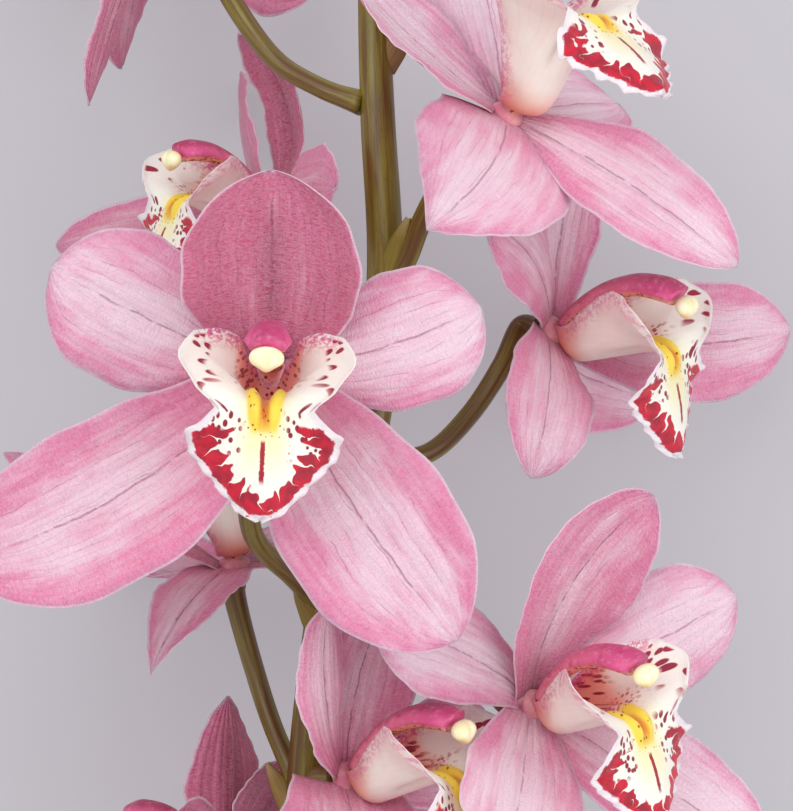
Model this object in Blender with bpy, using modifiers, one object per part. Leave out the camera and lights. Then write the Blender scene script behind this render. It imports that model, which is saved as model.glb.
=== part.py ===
"""Cut cymbidium spray lying on a surface: nine open flowers, three buds, rachis and bare scape.

Millimetres in the tables, metres in the meshes. X runs to the right and Y up in a view straight
down on the spray, Z up from the surface it lies on.
"""
import itertools
import math

import bmesh
import bpy
import numpy as np

MM = 0.001
ORIGIN = (-2.01, -25.26)              # middle of the bounding box, in the tables' own x and y
BLADE = 0.9                      # thickness of a sepal or petal
LIP_BLADE = 0.9
REST = 0.5                       # lowest height of a blade's middle sheet
FLAT = 0.2                       # blade points lower than this lie on the surface
ROOT = 2.9                       # radius at which a tepal leaves the flower's centre
HUB_CENTRE = (0.0, -0.47, 0.65)
HUB_RADII = (5.0, 5.0, 3.4)
STALK_END = -3.15                # where the stalk stops behind the hub
LIP_START = (0.0, -4.0, 4.8)
LIP_LENGTH = 57.0
TEPAL_ROWS, TEPAL_COLS = 6, 4
LIP_ROWS, LIP_COLS = 9, 6
COLUMN_PATH = [(0, 1.3, 5.2), (0, 5.0, 9.0), (0, 9.6, 17.0), (0, 11.4, 26.0), (0, 10.4, 33.4), (0, 9.2, 36.4)]
COLUMN_RADII = [3.0, 3.1, 3.5, 4.3, 4.9, 4.4]
CAP_CENTRE = (0.0, 7.2, 39.2)
CAP_RADII = (4.1, 2.6, 2.6)

COLORS = dict(
    tepal=(0.80, 0.42, 0.56), lip=(0.90, 0.80, 0.76), column=(0.66, 0.10, 0.29),
    anther=(0.93, 0.84, 0.50), stem=(0.20, 0.17, 0.04), bud=(0.55, 0.42, 0.24),
)

# arch: how many degrees the midrib bends forward from root to tip; sweep: its sideways turn;
# cup: half angle of the cross-section, positive when the edges come forward
KIND = dict(
    dorsal=dict(arch=8, width=36, cup=22, cup_end=30, widest=0.52, base=0.42, blunt=2.4),
    petal_r=dict(arch=-25, width=30, cup=-10, cup_end=-16, widest=0.62, base=0.32, blunt=2.4),
    petal_l=dict(arch=-25, width=30, cup=-10, cup_end=-16, widest=0.62, base=0.32, blunt=2.4),
    side_r=dict(arch=-10, width=36, cup=12, cup_end=8, widest=0.52, base=0.4, blunt=2.3),
    side_l=dict(arch=-10, width=36, cup=12, cup_end=8, widest=0.52, base=0.4, blunt=2.3),
)
PLAIN = dict(point=1.6, twist=0, sweep=0, ripple=0.6, waves=2.5)

BLOOMS = [
    dict(centre=(-30.4, 8.6, 112), facing=(0, -0.12, 1), up=(0.05, 1, 0),
         dorsal=dict(tip=(-29.2, 55.7, 132), arch=-15, width=48, cup=38, cup_end=55, blunt=2.6, base=0.5),
         petal_r=dict(tip=(20.3, 23.7, 116), arch=-40, width=34, sweep=18, widest=0.64, blunt=2.6),
         petal_l=dict(tip=(-82.9, 33.5, 116), arch=-40, width=38, sweep=-8, widest=0.62, blunt=2.6),
         side_r=dict(tip=(14.4, -55.9, 126), arch=-20, width=43, sweep=11, widest=0.58, base=0.42),
         side_l=dict(tip=(-104, -37, 120), arch=-20, width=41, sweep=-32, widest=0.56, base=0.42, blunt=2.8)),
    dict(centre=(-31.5, 49.6, 50), facing=(-0.8, 0.2, 0.56), up=(0.2, 0.95, 0), lip=0.85,
         dorsal=dict(tip=(-41, 96.5, 43), arch=105, width=17),
         petal_r=dict(tip=(-15.2, 53.2, 92), arch=-30, width=28),
         petal_l=dict(tip=(-42.3, 85.8, 0.5), arch=-20, width=24, twist=-30),
         side_r=dict(tip=(-64, 0, 34), width=32),
         side_l=dict(tip=(-91, 42.5, 12), width=19)),
    dict(centre=(26.8, 71.4, 90), facing=(0.5, 0.7, 0.51), up=(-0.55, 0.65, -0.5), lip=1.08,
         dorsal=dict(tip=(-12.7, 108, 92), arch=15, width=32),
         petal_r=dict(tip=(21, 114, 50), arch=-10, width=32),
         petal_l=dict(tip=(7.2, 42, 122), arch=-40, width=44, blunt=1.4, point=1.1, widest=0.4, base=0.8, sweep=-38),
         side_r=dict(tip=(57, 78, 48), width=30),
         side_l=dict(tip=(83.3, 34, 100), arch=-20, width=28, twist=35, base=0.25, widest=0.5, blunt=1.9)),
    dict(centre=(39, 19.5, 56), facing=(0.87, -0.04, 0.49), up=(-0.05, 0.98, 0.15),
         dorsal=dict(tip=(48.7, 70, 46), arch=20, width=22, twist=-25),
         petal_r=dict(tip=(103, 20, 34), arch=-20, width=32, sweep=32),
         petal_l=dict(tip=(23, 44, 98), width=24, sweep=40),
         side_r=dict(tip=(70, 1.5, -2.5), arch=80, width=32),
         side_l=dict(tip=(33.5, -18, 84), arch=-40, width=28, twist=30, sweep=40, blunt=1.8)),
    dict(centre=(33.5, -74.5, 76), facing=(0.73, 0.05, 0.68), up=(-0.22, 0.97, 0.1),
         dorsal=dict(tip=(64.3, -22.8, 84), arch=10, width=37, sweep=-62, blunt=2.0),
         petal_r=dict(tip=(87, -48.8, 56), arch=-20, width=34),
         petal_l=dict(tip=(-4.5, -54.7, 104), arch=-30, width=27, sweep=25),
         side_r=dict(tip=(94, -114.7, 66), width=33),
         side_l=dict(tip=(25, -114.4, 104), arch=-20, width=36, twist=20)),
    dict(centre=(-13.4, -93, 74), facing=(0.8, 0.16, 0.58), up=(-0.2, 1, 0),
         dorsal=dict(tip=(-4.7, -53.3, 66), arch=20, width=30, twist=-28),
         petal_r=dict(tip=(28.4, -87.5, 34), arch=-10),
         petal_l=dict(tip=(-17.3, -50.2, 96), arch=-15, width=21, sweep=-60),
         side_r=dict(tip=(11.4, -130, 30), width=32),
         side_l=dict(tip=(-15, -129, 104), arch=-50, width=44, twist=30, base=0.7)),
    dict(centre=(-43.5, -123.7, 48), facing=(-0.65, 0.15, -0.6), up=(0, 1, 0),
         dorsal=dict(tip=(-43.4, -74.8, 50), arch=10, width=27, blunt=1.6, point=1.2),
         petal_r=dict(tip=(-59.2, -106.3, 78), arch=-20, width=28),
         petal_l=dict(tip=(-26.4, -93.5, 40), arch=-10, width=28),
         side_r=dict(tip=(-54.6, -165, 70), width=32),
         side_l=dict(tip=(-42, -168, 5), width=32)),
    dict(centre=(-42, -42, 48), facing=(-0.05, 0.95, 0.25), up=(-0.6, 0, -0.8),
         dorsal=dict(tip=(-82.8, -31, 0.5), arch=55, width=34),
         petal_r=dict(tip=(-18, -31, 6), arch=-10),
         petal_l=dict(tip=(-100, -12, 60), arch=-10),
         side_r=dict(tip=(8.7, -40.3, 36), width=34),
         side_l=dict(tip=(-60.8, -66.2, 92), arch=-40, width=22, blunt=1.5, point=1.0, base=0.7, widest=0.35)),
    dict(centre=(-59, 133, 58), facing=(-0.6, 0.2, -0.6), up=(0.1, 1, 0),
         dorsal=dict(tip=(-58, 188, 50), arch=10, width=34),
         petal_r=dict(tip=(-106.8, 146.6, 78), arch=-10),
         petal_l=dict(tip=(-18.8, 112, 30), arch=-10, width=36),
         side_r=dict(tip=(-79.3, 77.2, 52), arch=-20, width=20, twist=-30),
         side_l=dict(tip=(-73, 89.3, 22), arch=-20, width=22, twist=-20)),
]

RACHIS = [(-6, 187, 62), (-4.7, 153, 66), (-5.2, 117, 70), (-5.7, 102, 71), (-4.7, 72, 72), (-2.9, 34, 72),
          (-6.2, -3.7, 70), (-15.6, -39, 66), (-20, -65, 62), (-23.4, -98, 56), (-26, -141, 44),
          (-28, -197, 24), (-29, -273, 4.86)]
RACHIS_RADII = [2.4, 2.9, 3.4, 4.0, 4.4, 4.6, 4.7, 4.8, 4.8, 4.9, 5.0, 5.0, 5.0]
# stalks of the flowers, from the rachis to a point short of the flower; the last stretch is worked out
STALKS = [
    [(-18.9, -50.7, 64), (-26.2, -43, 76), (-35.6, -30.6, 94), (-35.1, -8, 104)],
    [(-4.2, 17.8, 71), (-12, 29, 63), (-20, 42, 54)],
    [(-2, 29.3, 72), (2.6, 36.5, 77), (6.6, 46.5, 82), (13, 57, 86)],
    [(-4.2, -14.3, 68), (8.5, -11.8, 65), (18.7, -2.4, 61), (27, 10, 57)],
    [(-16.5, -44, 65), (-8, -55, 56), (8, -62, 53), (22, -68, 60)],
    [(-25.4, -125, 50), (-26, -110, 58), (-22, -99, 67)],
    [(-26.5, -146, 42), (-31, -136, 46), (-36, -128, 51)],
    [(-24.7, -98.4, 56), (-32, -82.3, 50), (-37.4, -65.8, 46)],
    [(-8.7, 76, 72), (-19.3, 80.3, 68), (-30.9, 88, 62), (-41.3, 102.3, 59), (-49, 118, 61)],
]
STALK_RADII = (2.3, 2.6, 3.0)
BUDS = [
    dict(stalk=[(-4.7, 140, 67), (4, 147, 70), (9, 155, 72)], way=(0.4, 0.9, 0.1), half=14.5, radius=7.6),
    dict(stalk=[(-5.2, 165, 65), (-13, 171, 66), (-18, 178, 66)], way=(-0.35, 0.93, -0.05), half=13, radius=6.6),
    dict(stalk=[(-6, 187, 62), (-6, 193, 61), (-5, 198, 60)], way=(0.15, 0.97, -0.15), half=11.5, radius=5.6),
]
# bracts hug the stem: foot, tip, width
BRACTS = [
    [(-2, 88, 74), (5, 101, 76), 7.0], [(-2, 31, 75), (3, 47, 81), 8.0], [(-20, -56, 66), (-26, -44, 72), 6.0],
    [(-26, -104, 58), (-33, -92, 54), 6.5],
]
SHEATHS = [((-26.9, -167, 34.8), (-27.6, -186, 28), 6.6), ((-28.4, -219, 17.5), (-28.7, -240, 12), 6.8)]


def unit(v):
    v = np.array(v, float)
    return v / np.linalg.norm(v)


def frame_of(facing, up):
    """Columns: the flower's right, its upper side and the way it faces."""
    f = unit(facing)
    u = np.array(up, float)
    u = unit(u - f * (u @ f))
    return np.stack([np.cross(u, f), u, f], axis=1)


def smooth(x, a, b):
    x = np.clip((x - a) / (b - a), 0, 1)
    return x * x * (3 - 2 * x)


def polar(v):
    r = float(np.linalg.norm(v))
    return math.degrees(math.atan2(v[1], v[0])), math.degrees(math.asin(v[2] / r)), r


def midrib(azimuth, lift, length, p, steps=120):
    s = np.linspace(0, 1, steps + 1)
    theta = np.radians(lift + p["arch"] * s)
    a = np.radians(azimuth + p["sweep"] * s)
    d = np.stack([np.cos(theta) * np.cos(a), np.cos(theta) * np.sin(a), np.sin(theta)], 1)
    path = np.concatenate([[[0, 0, 0]], np.cumsum((d[1:] + d[:-1]) / 2, axis=0) / steps]) * length
    a0 = math.radians(azimuth)
    return s, d, path + ROOT * np.array([math.cos(a0), math.sin(a0), 0.25])


def aim(tip, p):
    """Azimuth, first lift and length with which the midrib ends at the tip."""
    azimuth, lift, length = want = polar(tip)
    for _ in range(12):
        got = polar(midrib(azimuth, lift, length, p)[2][-1])
        azimuth += (want[0] - got[0] + 180) % 360 - 180
        lift += want[1] - got[1]
        length *= want[2] / got[2]
    return azimuth, lift, length


def half_width(s, p):
    m = p["widest"]
    low = p["base"] + (1 - p["base"]) * np.sin(np.pi / 2 * np.clip(s / m, 0, 1)) ** 1.25
    x = np.clip((s - m) / (1 - m), 0, 1)
    high = (1 - x ** p["blunt"]) ** (1 / p["point"])
    return p["width"] / 2 * np.where(s < m, low, high)


def tepal_sheet(bloom, kind, rows, cols):
    """Grid of points of one sepal or petal, in the spray's own millimetres."""
    p = {**PLAIN, **KIND[kind], **bloom[kind]}
    turn = frame_of(bloom["facing"], bloom["up"])
    centre = np.array(bloom["centre"], float)
    azimuth, lift, length = aim(turn.T @ (np.array(p["tip"], float) - centre), p)
    s, d, path = midrib(azimuth, lift, length, p)
    k = np.arange(rows + 1) / rows
    si = 1 - (1 - k) ** 1.45
    si[-1] = 0.995
    pos = np.stack([np.interp(si, s, path[:, i]) for i in range(3)], 1)
    along = np.stack([np.interp(si, s, d[:, i]) for i in range(3)], 1)
    along /= np.linalg.norm(along, axis=1)[:, None]
    a = np.radians(azimuth + p["sweep"] * si)
    side = np.stack([-np.sin(a), np.cos(a), 0 * a], 1)
    face = np.cross(along, side)
    tw = math.radians(p["twist"])
    side, face = side * math.cos(tw) + face * math.sin(tw), face * math.cos(tw) - side * math.sin(tw)
    half = half_width(si, p)
    grid = np.zeros((rows + 1, cols + 1, 3))
    for j, t in enumerate(np.linspace(-1, 1, cols + 1)):
        phi = np.radians(p["cup"] + (p["cup_end"] - p["cup"]) * si)
        phi = np.where(np.abs(phi) < 0.001, 0.001, phi)
        across = half / phi * np.sin(phi * abs(t)) * np.sign(t)
        rise = half / phi * (1 - np.cos(phi * abs(t)))
        phase = 2 * np.pi * p["waves"] * si + (1.3 if t > 0 else 0)
        rise = rise + p["ripple"] * abs(t) ** 3 * np.sin(phase) * np.clip(si * 4, 0, 1)
        grid[:, j] = pos + side * across[:, None] + face * rise[:, None]
    grid = grid @ turn.T + centre
    grid[..., 2] = np.maximum(grid[..., 2], REST)
    return grid


LIP_HALF = ([0, 0.07, 0.15, 0.26, 0.36, 0.44, 0.49, 0.525, 0.555, 0.59, 0.635, 0.685, 0.74, 0.805, 0.87, 0.925, 0.963,
             0.986, 1],
            [7.5, 11, 15.5, 20, 22, 21, 18, 12.5, 11.5, 14.5, 18.3, 18.8, 17.6, 14.6, 11.6, 8.8, 6.6, 4.4, 1])
LIP_WRAP = ([0, 0.1, 0.32, 0.45, 0.515, 0.57, 0.69, 1], [75, 86, 86, 78, 50, 15, -20, -30])
LIP_OUT = ([0, 0.26, 0.36, 0.45, 0.5, 0.53, 0.56, 1], [0, 0, 3.5, 8.5, 9, 6, 0, 0])
LIP_REACH = ([0, 0.13, 0.27, 0.38, 0.45, 0.5, 0.54, 0.575, 1], [0, 2, 4, 6, 6.5, 5.5, 2.5, 0, 0])


def lip_sheet(bloom, rows, cols):
    """Grid of points of the lip: a gutter with tall side lobes, then the hanging middle lobe."""
    steps = 300
    s = np.linspace(0, 1, steps + 1)
    down = np.radians(-10 + 88 * smooth(s, 0.42, 0.61) + 22 * smooth(s, 0.63, 1) + 70 * (1 - smooth(s, 0, 0.15)))
    d = np.stack([0 * down, -np.sin(down), np.cos(down)], 1)
    path = np.concatenate([[[0, 0, 0]], np.cumsum((d[1:] + d[:-1]) / 2, axis=0) / steps]) * LIP_LENGTH
    path = path + np.array(LIP_START)
    si = np.interp(np.arange(rows + 1) / rows, np.linspace(0, 1, 10),
                   [0, 0.13, 0.28, 0.4, 0.48, 0.53, 0.59, 0.69, 0.84, 0.995])
    pos = np.stack([np.interp(si, s, path[:, i]) for i in range(3)], 1)
    rear = np.radians(-10 + 88 * smooth(si, 0.45, 0.63) + 22 * smooth(si, 0.63, 1))
    lift = np.stack([0 * rear, np.cos(rear), np.sin(rear)], 1)
    half = np.interp(si, *LIP_HALF)
    wrap = np.radians(np.interp(si, *LIP_WRAP))
    wrap = np.where(np.abs(wrap) < 0.001, 0.001, wrap)
    out = np.interp(si, *LIP_OUT)
    reach = np.interp(si, *LIP_REACH)
    right = np.array([1.0, 0, 0])
    ahead = np.array([0, 0, 1.0])
    grid = np.zeros((rows + 1, cols + 1, 3))
    for j, t in enumerate(np.linspace(-1, 1, cols + 1)):
        size = abs(t)
        bend = wrap * min(1, size / 0.5)
        outer = max(0, size - 0.5)
        across = half * 0.5 / wrap * np.sin(bend) + half * outer * np.cos(wrap) + out * smooth(size, 0.35, 0.85)
        rise = half * 0.5 / wrap * (1 - np.cos(bend)) + half * outer * np.sin(wrap)
        rise = rise + 0.9 * size ** 4 * np.sin(size * 3 + si * 60) * smooth(si, 0.52, 0.65)
        grid[:, j] = (pos + right * (across * np.sign(t))[:, None] + lift * rise[:, None]
                      + ahead * (reach * max(0, size - 0.3))[:, None])
    turn = frame_of(bloom["facing"], bloom["up"])
    return bloom.get("lip", 1) * grid @ turn.T + np.array(bloom["centre"], float)


def through(points, count):
    """Catmull-Rom curve through the points, with the parameter running 0 to 1."""
    pts = np.array(points, float)
    last = len(pts) - 1
    ext = np.concatenate([[2 * pts[0] - pts[1]], pts, [2 * pts[-1] - pts[-2]]])
    out = []
    for x in np.linspace(0, last, count):
        i = min(int(x), last - 1)
        f = x - i
        a, b, c, d = ext[i:i + 4]
        out.append(0.5 * (2 * b + (c - a) * f + (2 * a - 5 * b + 4 * c - d) * f * f + (3 * b - a - 3 * c + d) * f ** 3))
    return np.array(out)


def rings_along(path, radii, sides, flat=1.0):
    """Circles square to the path, carried along it without turning."""
    step = np.gradient(path, axis=0)
    step /= np.linalg.norm(step, axis=1)[:, None]
    side = np.cross(step[0], (0, 0, 1.0))
    if np.linalg.norm(side) < 0.1:
        side = np.array([1.0, 0, 0])
    rings = []
    for point, along, radius in zip(path, step, radii):
        side = unit(side - along * (side @ along))
        other = np.cross(side, along)
        ring = [point + radius * (side * math.cos(t) + other * flat * math.sin(t))
                for t in np.arange(sides) * 2 * math.pi / sides + math.pi / 2]
        rings.append(ring)
    return np.array(rings)


def material(name):
    mat = bpy.data.materials.new(name)
    mat.use_nodes = True
    bsdf = mat.node_tree.nodes["Principled BSDF"]
    bsdf.inputs["Base Color"].default_value = (*COLORS[name.split("_")[0]], 1)
    bsdf.inputs["Roughness"].default_value = 0.5
    return mat


def add_object(name, verts, faces, group, mat=None):
    mesh = bpy.data.meshes.new(name)
    shifted = np.array(verts, float) - np.array([ORIGIN[0], ORIGIN[1], 0])
    mesh.from_pydata([tuple(v) for v in shifted * MM], [], faces)
    mesh.update()
    obj = bpy.data.objects.new(name, mesh)
    group.objects.link(obj)
    if mat:
        mesh.materials.append(mat)
    return obj


def outer_shell(bm):
    """Delete every shell but the one with the most faces."""
    seen = set()
    shells = []
    for face in bm.faces:
        if face in seen:
            continue
        stack, shell = [face], []
        seen.add(face)
        while stack:
            here = stack.pop()
            shell.append(here)
            for edge in here.edges:
                for near in edge.link_faces:
                    if near not in seen:
                        seen.add(near)
                        stack.append(near)
        shells.append(shell)
    shells.sort(key=len, reverse=True)
    spare = [f for shell in shells[1:] for f in shell]
    if spare:
        bmesh.ops.delete(bm, geom=spare, context="FACES")


def tidy(obj):
    """Triangles and outward normals, with tiny edges merged as far as the body stays closed."""
    for merge in (0.00001, 0.000005, 0.000002, 0.000001, 0):
        bm = bmesh.new()
        bm.from_mesh(obj.data)
        if merge:
            bmesh.ops.remove_doubles(bm, verts=bm.verts, dist=merge)
            bmesh.ops.dissolve_degenerate(bm, edges=bm.edges, dist=merge)
        bmesh.ops.triangulate(bm, faces=bm.faces)
        outer_shell(bm)
        bmesh.ops.recalc_face_normals(bm, faces=bm.faces)
        good = all(len(edge.link_faces) == 2 for edge in bm.edges)
        if good or not merge:
            bm.to_mesh(obj.data)
            bm.free()
            return
        bm.free()


def bake(obj):
    """Apply the object's modifiers."""
    graph = bpy.context.evaluated_depsgraph_get()
    mesh = bpy.data.meshes.new_from_object(obj.evaluated_get(graph))
    obj.modifiers.clear()
    obj.data = mesh


def closed_volume(obj):
    """Volume in mm3 of the triangles, or 0 where an edge hasn't exactly two of them."""
    bm = bmesh.new()
    bm.from_mesh(obj.data)
    bmesh.ops.triangulate(bm, faces=bm.faces)
    bm.to_mesh(obj.data)
    good = len(bm.faces) > 0 and all(len(edge.link_faces) == 2 for edge in bm.edges)
    volume = bm.calc_volume() / MM ** 3 if good else 0.0
    bm.free()
    return volume


def fuse(base, others):
    """Union one by one; where one solver leaves a bad edge, the other is used."""
    for other in others:
        before = base.data
        least = closed_volume(base) + 0.3 * closed_volume(other)
        for solver, nudge in itertools.product(("EXACT", "MANIFOLD"), (0, 0.03, -0.05, 0.08, -0.12)):
            base.data = before.copy()
            other.location = (nudge * MM, -nudge * MM, nudge * MM)
            mod = base.modifiers.new("fuse", "BOOLEAN")
            mod.operation = "UNION"
            mod.solver = solver
            mod.object = other
            bake(base)
            if closed_volume(base) > least:
                break
        else:
            raise RuntimeError(f"{other.name} doesn't join {base.name}")
        bpy.data.objects.remove(other)
    tidy(base)
    return base


def sheet_solid(name, grid, thickness, group, mat=None):
    """A blade: the sheet in triangles, then given its thickness."""
    rows, cols = grid.shape[0] - 1, grid.shape[1] - 1
    faces = []
    for i in range(rows):
        for j in range(cols):
            a, b = i * (cols + 1) + j, (i + 1) * (cols + 1) + j
            if j < cols / 2:
                faces += [(a, b, a + 1), (b, b + 1, a + 1)]
            else:
                faces += [(a, b, b + 1), (a, b + 1, a + 1)]
    obj = add_object(name, grid.reshape(-1, 3), faces, group, mat)
    mod = obj.modifiers.new("blade", "SOLIDIFY")
    mod.thickness = thickness * MM
    mod.offset = 0
    bake(obj)
    for vert in obj.data.vertices:
        if vert.co.z < FLAT * MM:
            vert.co.z = 0
    return obj


def loft_solid(name, rings, group, mat=None):
    """Closed body through the rings, with a fan at each end."""
    count, sides = rings.shape[0], rings.shape[1]
    verts = [p for ring in rings for p in ring] + [rings[0].mean(axis=0), rings[-1].mean(axis=0)]
    faces = []
    for i in range(count - 1):
        for j in range(sides):
            a, b = i * sides + j, i * sides + (j + 1) % sides
            faces += [(a, b, b + sides), (a, b + sides, a + sides)]
    for j in range(sides):
        faces.append((j, count * sides, (j + 1) % sides))
        faces.append(((count - 1) * sides + j, (count - 1) * sides + (j + 1) % sides, count * sides + 1))
    obj = add_object(name, verts, faces, group, mat)
    tidy(obj)
    return obj


def egg(name, centre, radii, turn, group, mat=None, rings=4, sides=7):
    """Ellipsoid with its third radius along the frame's third column."""
    out = []
    for i in range(rings):
        a = math.pi * (i + 0.5) / rings
        ring = []
        for j in range(sides):
            t = 2 * math.pi * j / sides
            local = (radii[0] * math.sin(a) * math.cos(t), radii[1] * math.sin(a) * math.sin(t), -radii[2] * math.cos(a))
            ring.append(turn @ np.array(local) + centre)
        out.append(ring)
    return loft_solid(name, np.array(out), group, mat)


def build_bloom(number, bloom, parts, cutters):
    turn = frame_of(bloom["facing"], bloom["up"])
    centre = np.array(bloom["centre"], float)
    mats = {key: material(f"{key}_{number}") for key in ("tepal", "lip", "column", "anther")}
    hub = egg(f"bloom_{number}_tepals", turn @ np.array(HUB_CENTRE) + centre, HUB_RADII, turn, parts, mats["tepal"],
              sides=8)
    blades = [sheet_solid(f"cut_{kind}", tepal_sheet(bloom, kind, TEPAL_ROWS, TEPAL_COLS), BLADE, cutters)
              for kind in KIND]
    fuse(hub, blades)
    lip = sheet_solid(f"bloom_{number}_lip", lip_sheet(bloom, LIP_ROWS, LIP_COLS), LIP_BLADE, parts, mats["lip"])
    tidy(lip)
    size = bloom.get("lip", 1)
    path = size * np.array(COLUMN_PATH, float) @ turn.T + centre
    step = np.gradient(path, axis=0)
    rings = []
    for point, along, radius in zip(path, step, COLUMN_RADII):
        side = turn[:, 0]
        other = unit(np.cross(along, side))
        ring = [point + size * radius * (side * math.cos(t) + 0.74 * other * math.sin(t))
                for t in np.arange(8) * math.pi / 4]
        rings.append(ring)
    loft_solid(f"bloom_{number}_column", np.array(rings), parts, mats["column"])
    egg(f"bloom_{number}_anther", size * turn @ np.array(CAP_CENTRE) + centre, size * np.array(CAP_RADII), turn, parts,
        mats["anther"])


def build_stem(parts, cutters):
    path = through(RACHIS, 28)
    radii = np.interp(np.linspace(0, 1, 28), np.linspace(0, 1, len(RACHIS_RADII)), RACHIS_RADII)
    rings = rings_along(path, radii, 8)
    rings[..., 2] = np.maximum(rings[..., 2], 0)
    stem = loft_solid("stem", rings, parts, material("stem"))
    extra = []
    for bloom, points in zip(BLOOMS, STALKS):
        f = unit(bloom["facing"])
        centre = np.array(bloom["centre"], float)
        route = points + [tuple(centre + f * (STALK_END - 5)), tuple(centre + f * STALK_END)]
        path = through(route, 2 * len(route) + 1)
        radii = np.interp(np.linspace(0, 1, len(path)), (0, 0.5, 1), STALK_RADII)
        extra.append(loft_solid("cut_stalk", rings_along(path, radii, 6), cutters))
    for bud in BUDS:
        way = unit(bud["way"])
        path = through(bud["stalk"] + [tuple(np.array(bud["stalk"][-1]) + way * 3)], 6)
        radii = np.interp(np.linspace(0, 1, 6), (0, 1), (1.9, 2.3))
        extra.append(loft_solid("cut_stalk", rings_along(path, radii, 6), cutters))
    for foot, tip, width in BRACTS:
        foot, tip = np.array(foot, float), np.array(tip, float)
        way = unit(tip - foot)
        side = unit(np.cross(way, (0, 0, 1)))
        rings = []
        for k, w in ((-0.25, 0.8), (0.2, 1.0), (0.65, 0.7), (1.0, 0.2)):
            middle = foot + (tip - foot) * k
            lift = np.cross(side, way)
            rings.append([middle + side * w * width / 2 * math.cos(t) + lift * 0.9 * math.sin(t)
                          for t in np.arange(6) * math.pi / 3])
        extra.append(loft_solid("cut_bract", np.array(rings), cutters))
    for low, high, radius in SHEATHS:
        path = through([low, high], 3)
        extra.append(loft_solid("cut_sheath", rings_along(path, (radius, radius - 0.4, radius - 1.3), 10), cutters))
    fuse(stem, extra)
    for number, bud in enumerate(BUDS, 1):
        way = unit(bud["way"])
        centre = np.array(bud["stalk"][-1]) + way * (3.35 + bud["half"])
        side = unit(np.cross(way, (0, 0, 1)))
        turn = np.stack([side, np.cross(way, side), way], axis=1)
        egg(f"bud_{number}", centre, (bud["radius"], bud["radius"] * 0.85, bud["half"]), turn, parts,
            material(f"bud_{number}"), rings=6, sides=8)


def main():
    for obj in list(bpy.data.objects):
        bpy.data.objects.remove(obj)
    parts = bpy.data.collections.new("parts")
    cutters = bpy.data.collections.new("cutters")
    bpy.context.scene.collection.children.link(parts)
    bpy.context.scene.collection.children.link(cutters)
    for number, bloom in enumerate(BLOOMS, 1):
        build_bloom(number, bloom, parts, cutters)
    build_stem(parts, cutters)


main()
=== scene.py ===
"""Looks of the cut cymbidium spray: veined petals, spotted lips, columns, stem, buds and the stage.

The tables are in millimetres. X runs to the right and Y up in a view straight down on the spray,
Z up from the surface it lies on.
"""
import math

import bmesh
import bpy
import numpy as np
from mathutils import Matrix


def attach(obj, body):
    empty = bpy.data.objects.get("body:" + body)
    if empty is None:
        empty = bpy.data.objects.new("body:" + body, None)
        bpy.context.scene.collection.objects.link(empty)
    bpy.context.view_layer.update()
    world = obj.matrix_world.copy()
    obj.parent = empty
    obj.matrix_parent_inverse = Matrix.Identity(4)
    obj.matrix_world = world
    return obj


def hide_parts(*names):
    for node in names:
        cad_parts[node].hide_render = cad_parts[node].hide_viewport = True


bl_info = {
    "name": "Cymbidium Spray",
    "version": (1, 0, 0),
    "blender": (4, 5, 0),
    "location": "View3D > Sidebar > Orchid",
    "description": "Builds the finished look of a cut cymbidium orchid spray",
    "category": "Add Mesh",
}

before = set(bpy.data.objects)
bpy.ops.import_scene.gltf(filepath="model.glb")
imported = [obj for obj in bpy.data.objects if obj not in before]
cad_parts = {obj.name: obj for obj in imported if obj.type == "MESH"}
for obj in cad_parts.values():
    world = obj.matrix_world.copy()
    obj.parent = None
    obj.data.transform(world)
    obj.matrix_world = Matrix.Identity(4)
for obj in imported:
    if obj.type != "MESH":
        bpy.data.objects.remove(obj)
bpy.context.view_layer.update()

MM = 0.001
ORIGIN = (-2.01, -25.26)         # middle of the bounding box, in the tables' own x and y
ROOT = 2.9                       # radius at which a sepal or petal leaves the flower's centre
REST = 0.45                      # lowest height of a blade's middle sheet
RIB_STEPS = 160                  # steps in which a sepal's or petal's midrib is worked out
LIP_STEPS = 300                  # and a lip's
CURVE_STEPS = 40                 # and a column's
CHANNEL = 0.55                   # depth of the channel along a midrib
FOLD = 0.16                      # height of the folds beside it
EDGE_WAVE = 0.22                 # height of the fine wave in a petal's edge
FRILL = 0.9                      # height of the frills of the lip's middle lobe
RIM_SHARE = 0.22                 # thickness of a blade's edge, as a share of the blade's
TAPER = 3.5                      # how far in from the edge the blade has its full thickness
BRACT_BLADE = 0.5                # thickness of a bract
FLOOR_SHARES = (0.42, 0.445)     # the floor's darkest and lightest, as shares of its colour
HUB_CENTRE = (0.0, -0.47, 0.65)
HUB_RADII = (5.0, 5.0, 3.4)
HUB_SHARE = 0.86                 # the centre is kept this much inside those radii
STALK_END = -3.15                # where the stalk stops behind the hub
LIP_START = (0.0, -4.0, 4.8)
LIP_LENGTH = 57.0
FAN = 0.66                       # share of that length from which the band's blotches fan out
AT_EDGE = 0.999                  # from here on, a point of a sheet lies on its edge
COLUMN_PATH = [(0, 1.3, 5.2), (0, 5.0, 9.0), (0, 9.6, 17.0),
               (0, 11.4, 26.0), (0, 10.4, 33.4), (0, 9.2, 36.4)]
COLUMN_RADII = [3.0, 3.1, 3.5, 4.3, 4.9, 4.4]
CAP_CENTRE = (0.0, 7.2, 39.2)
CAP_RADII = (4.1, 2.6, 2.6)

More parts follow.
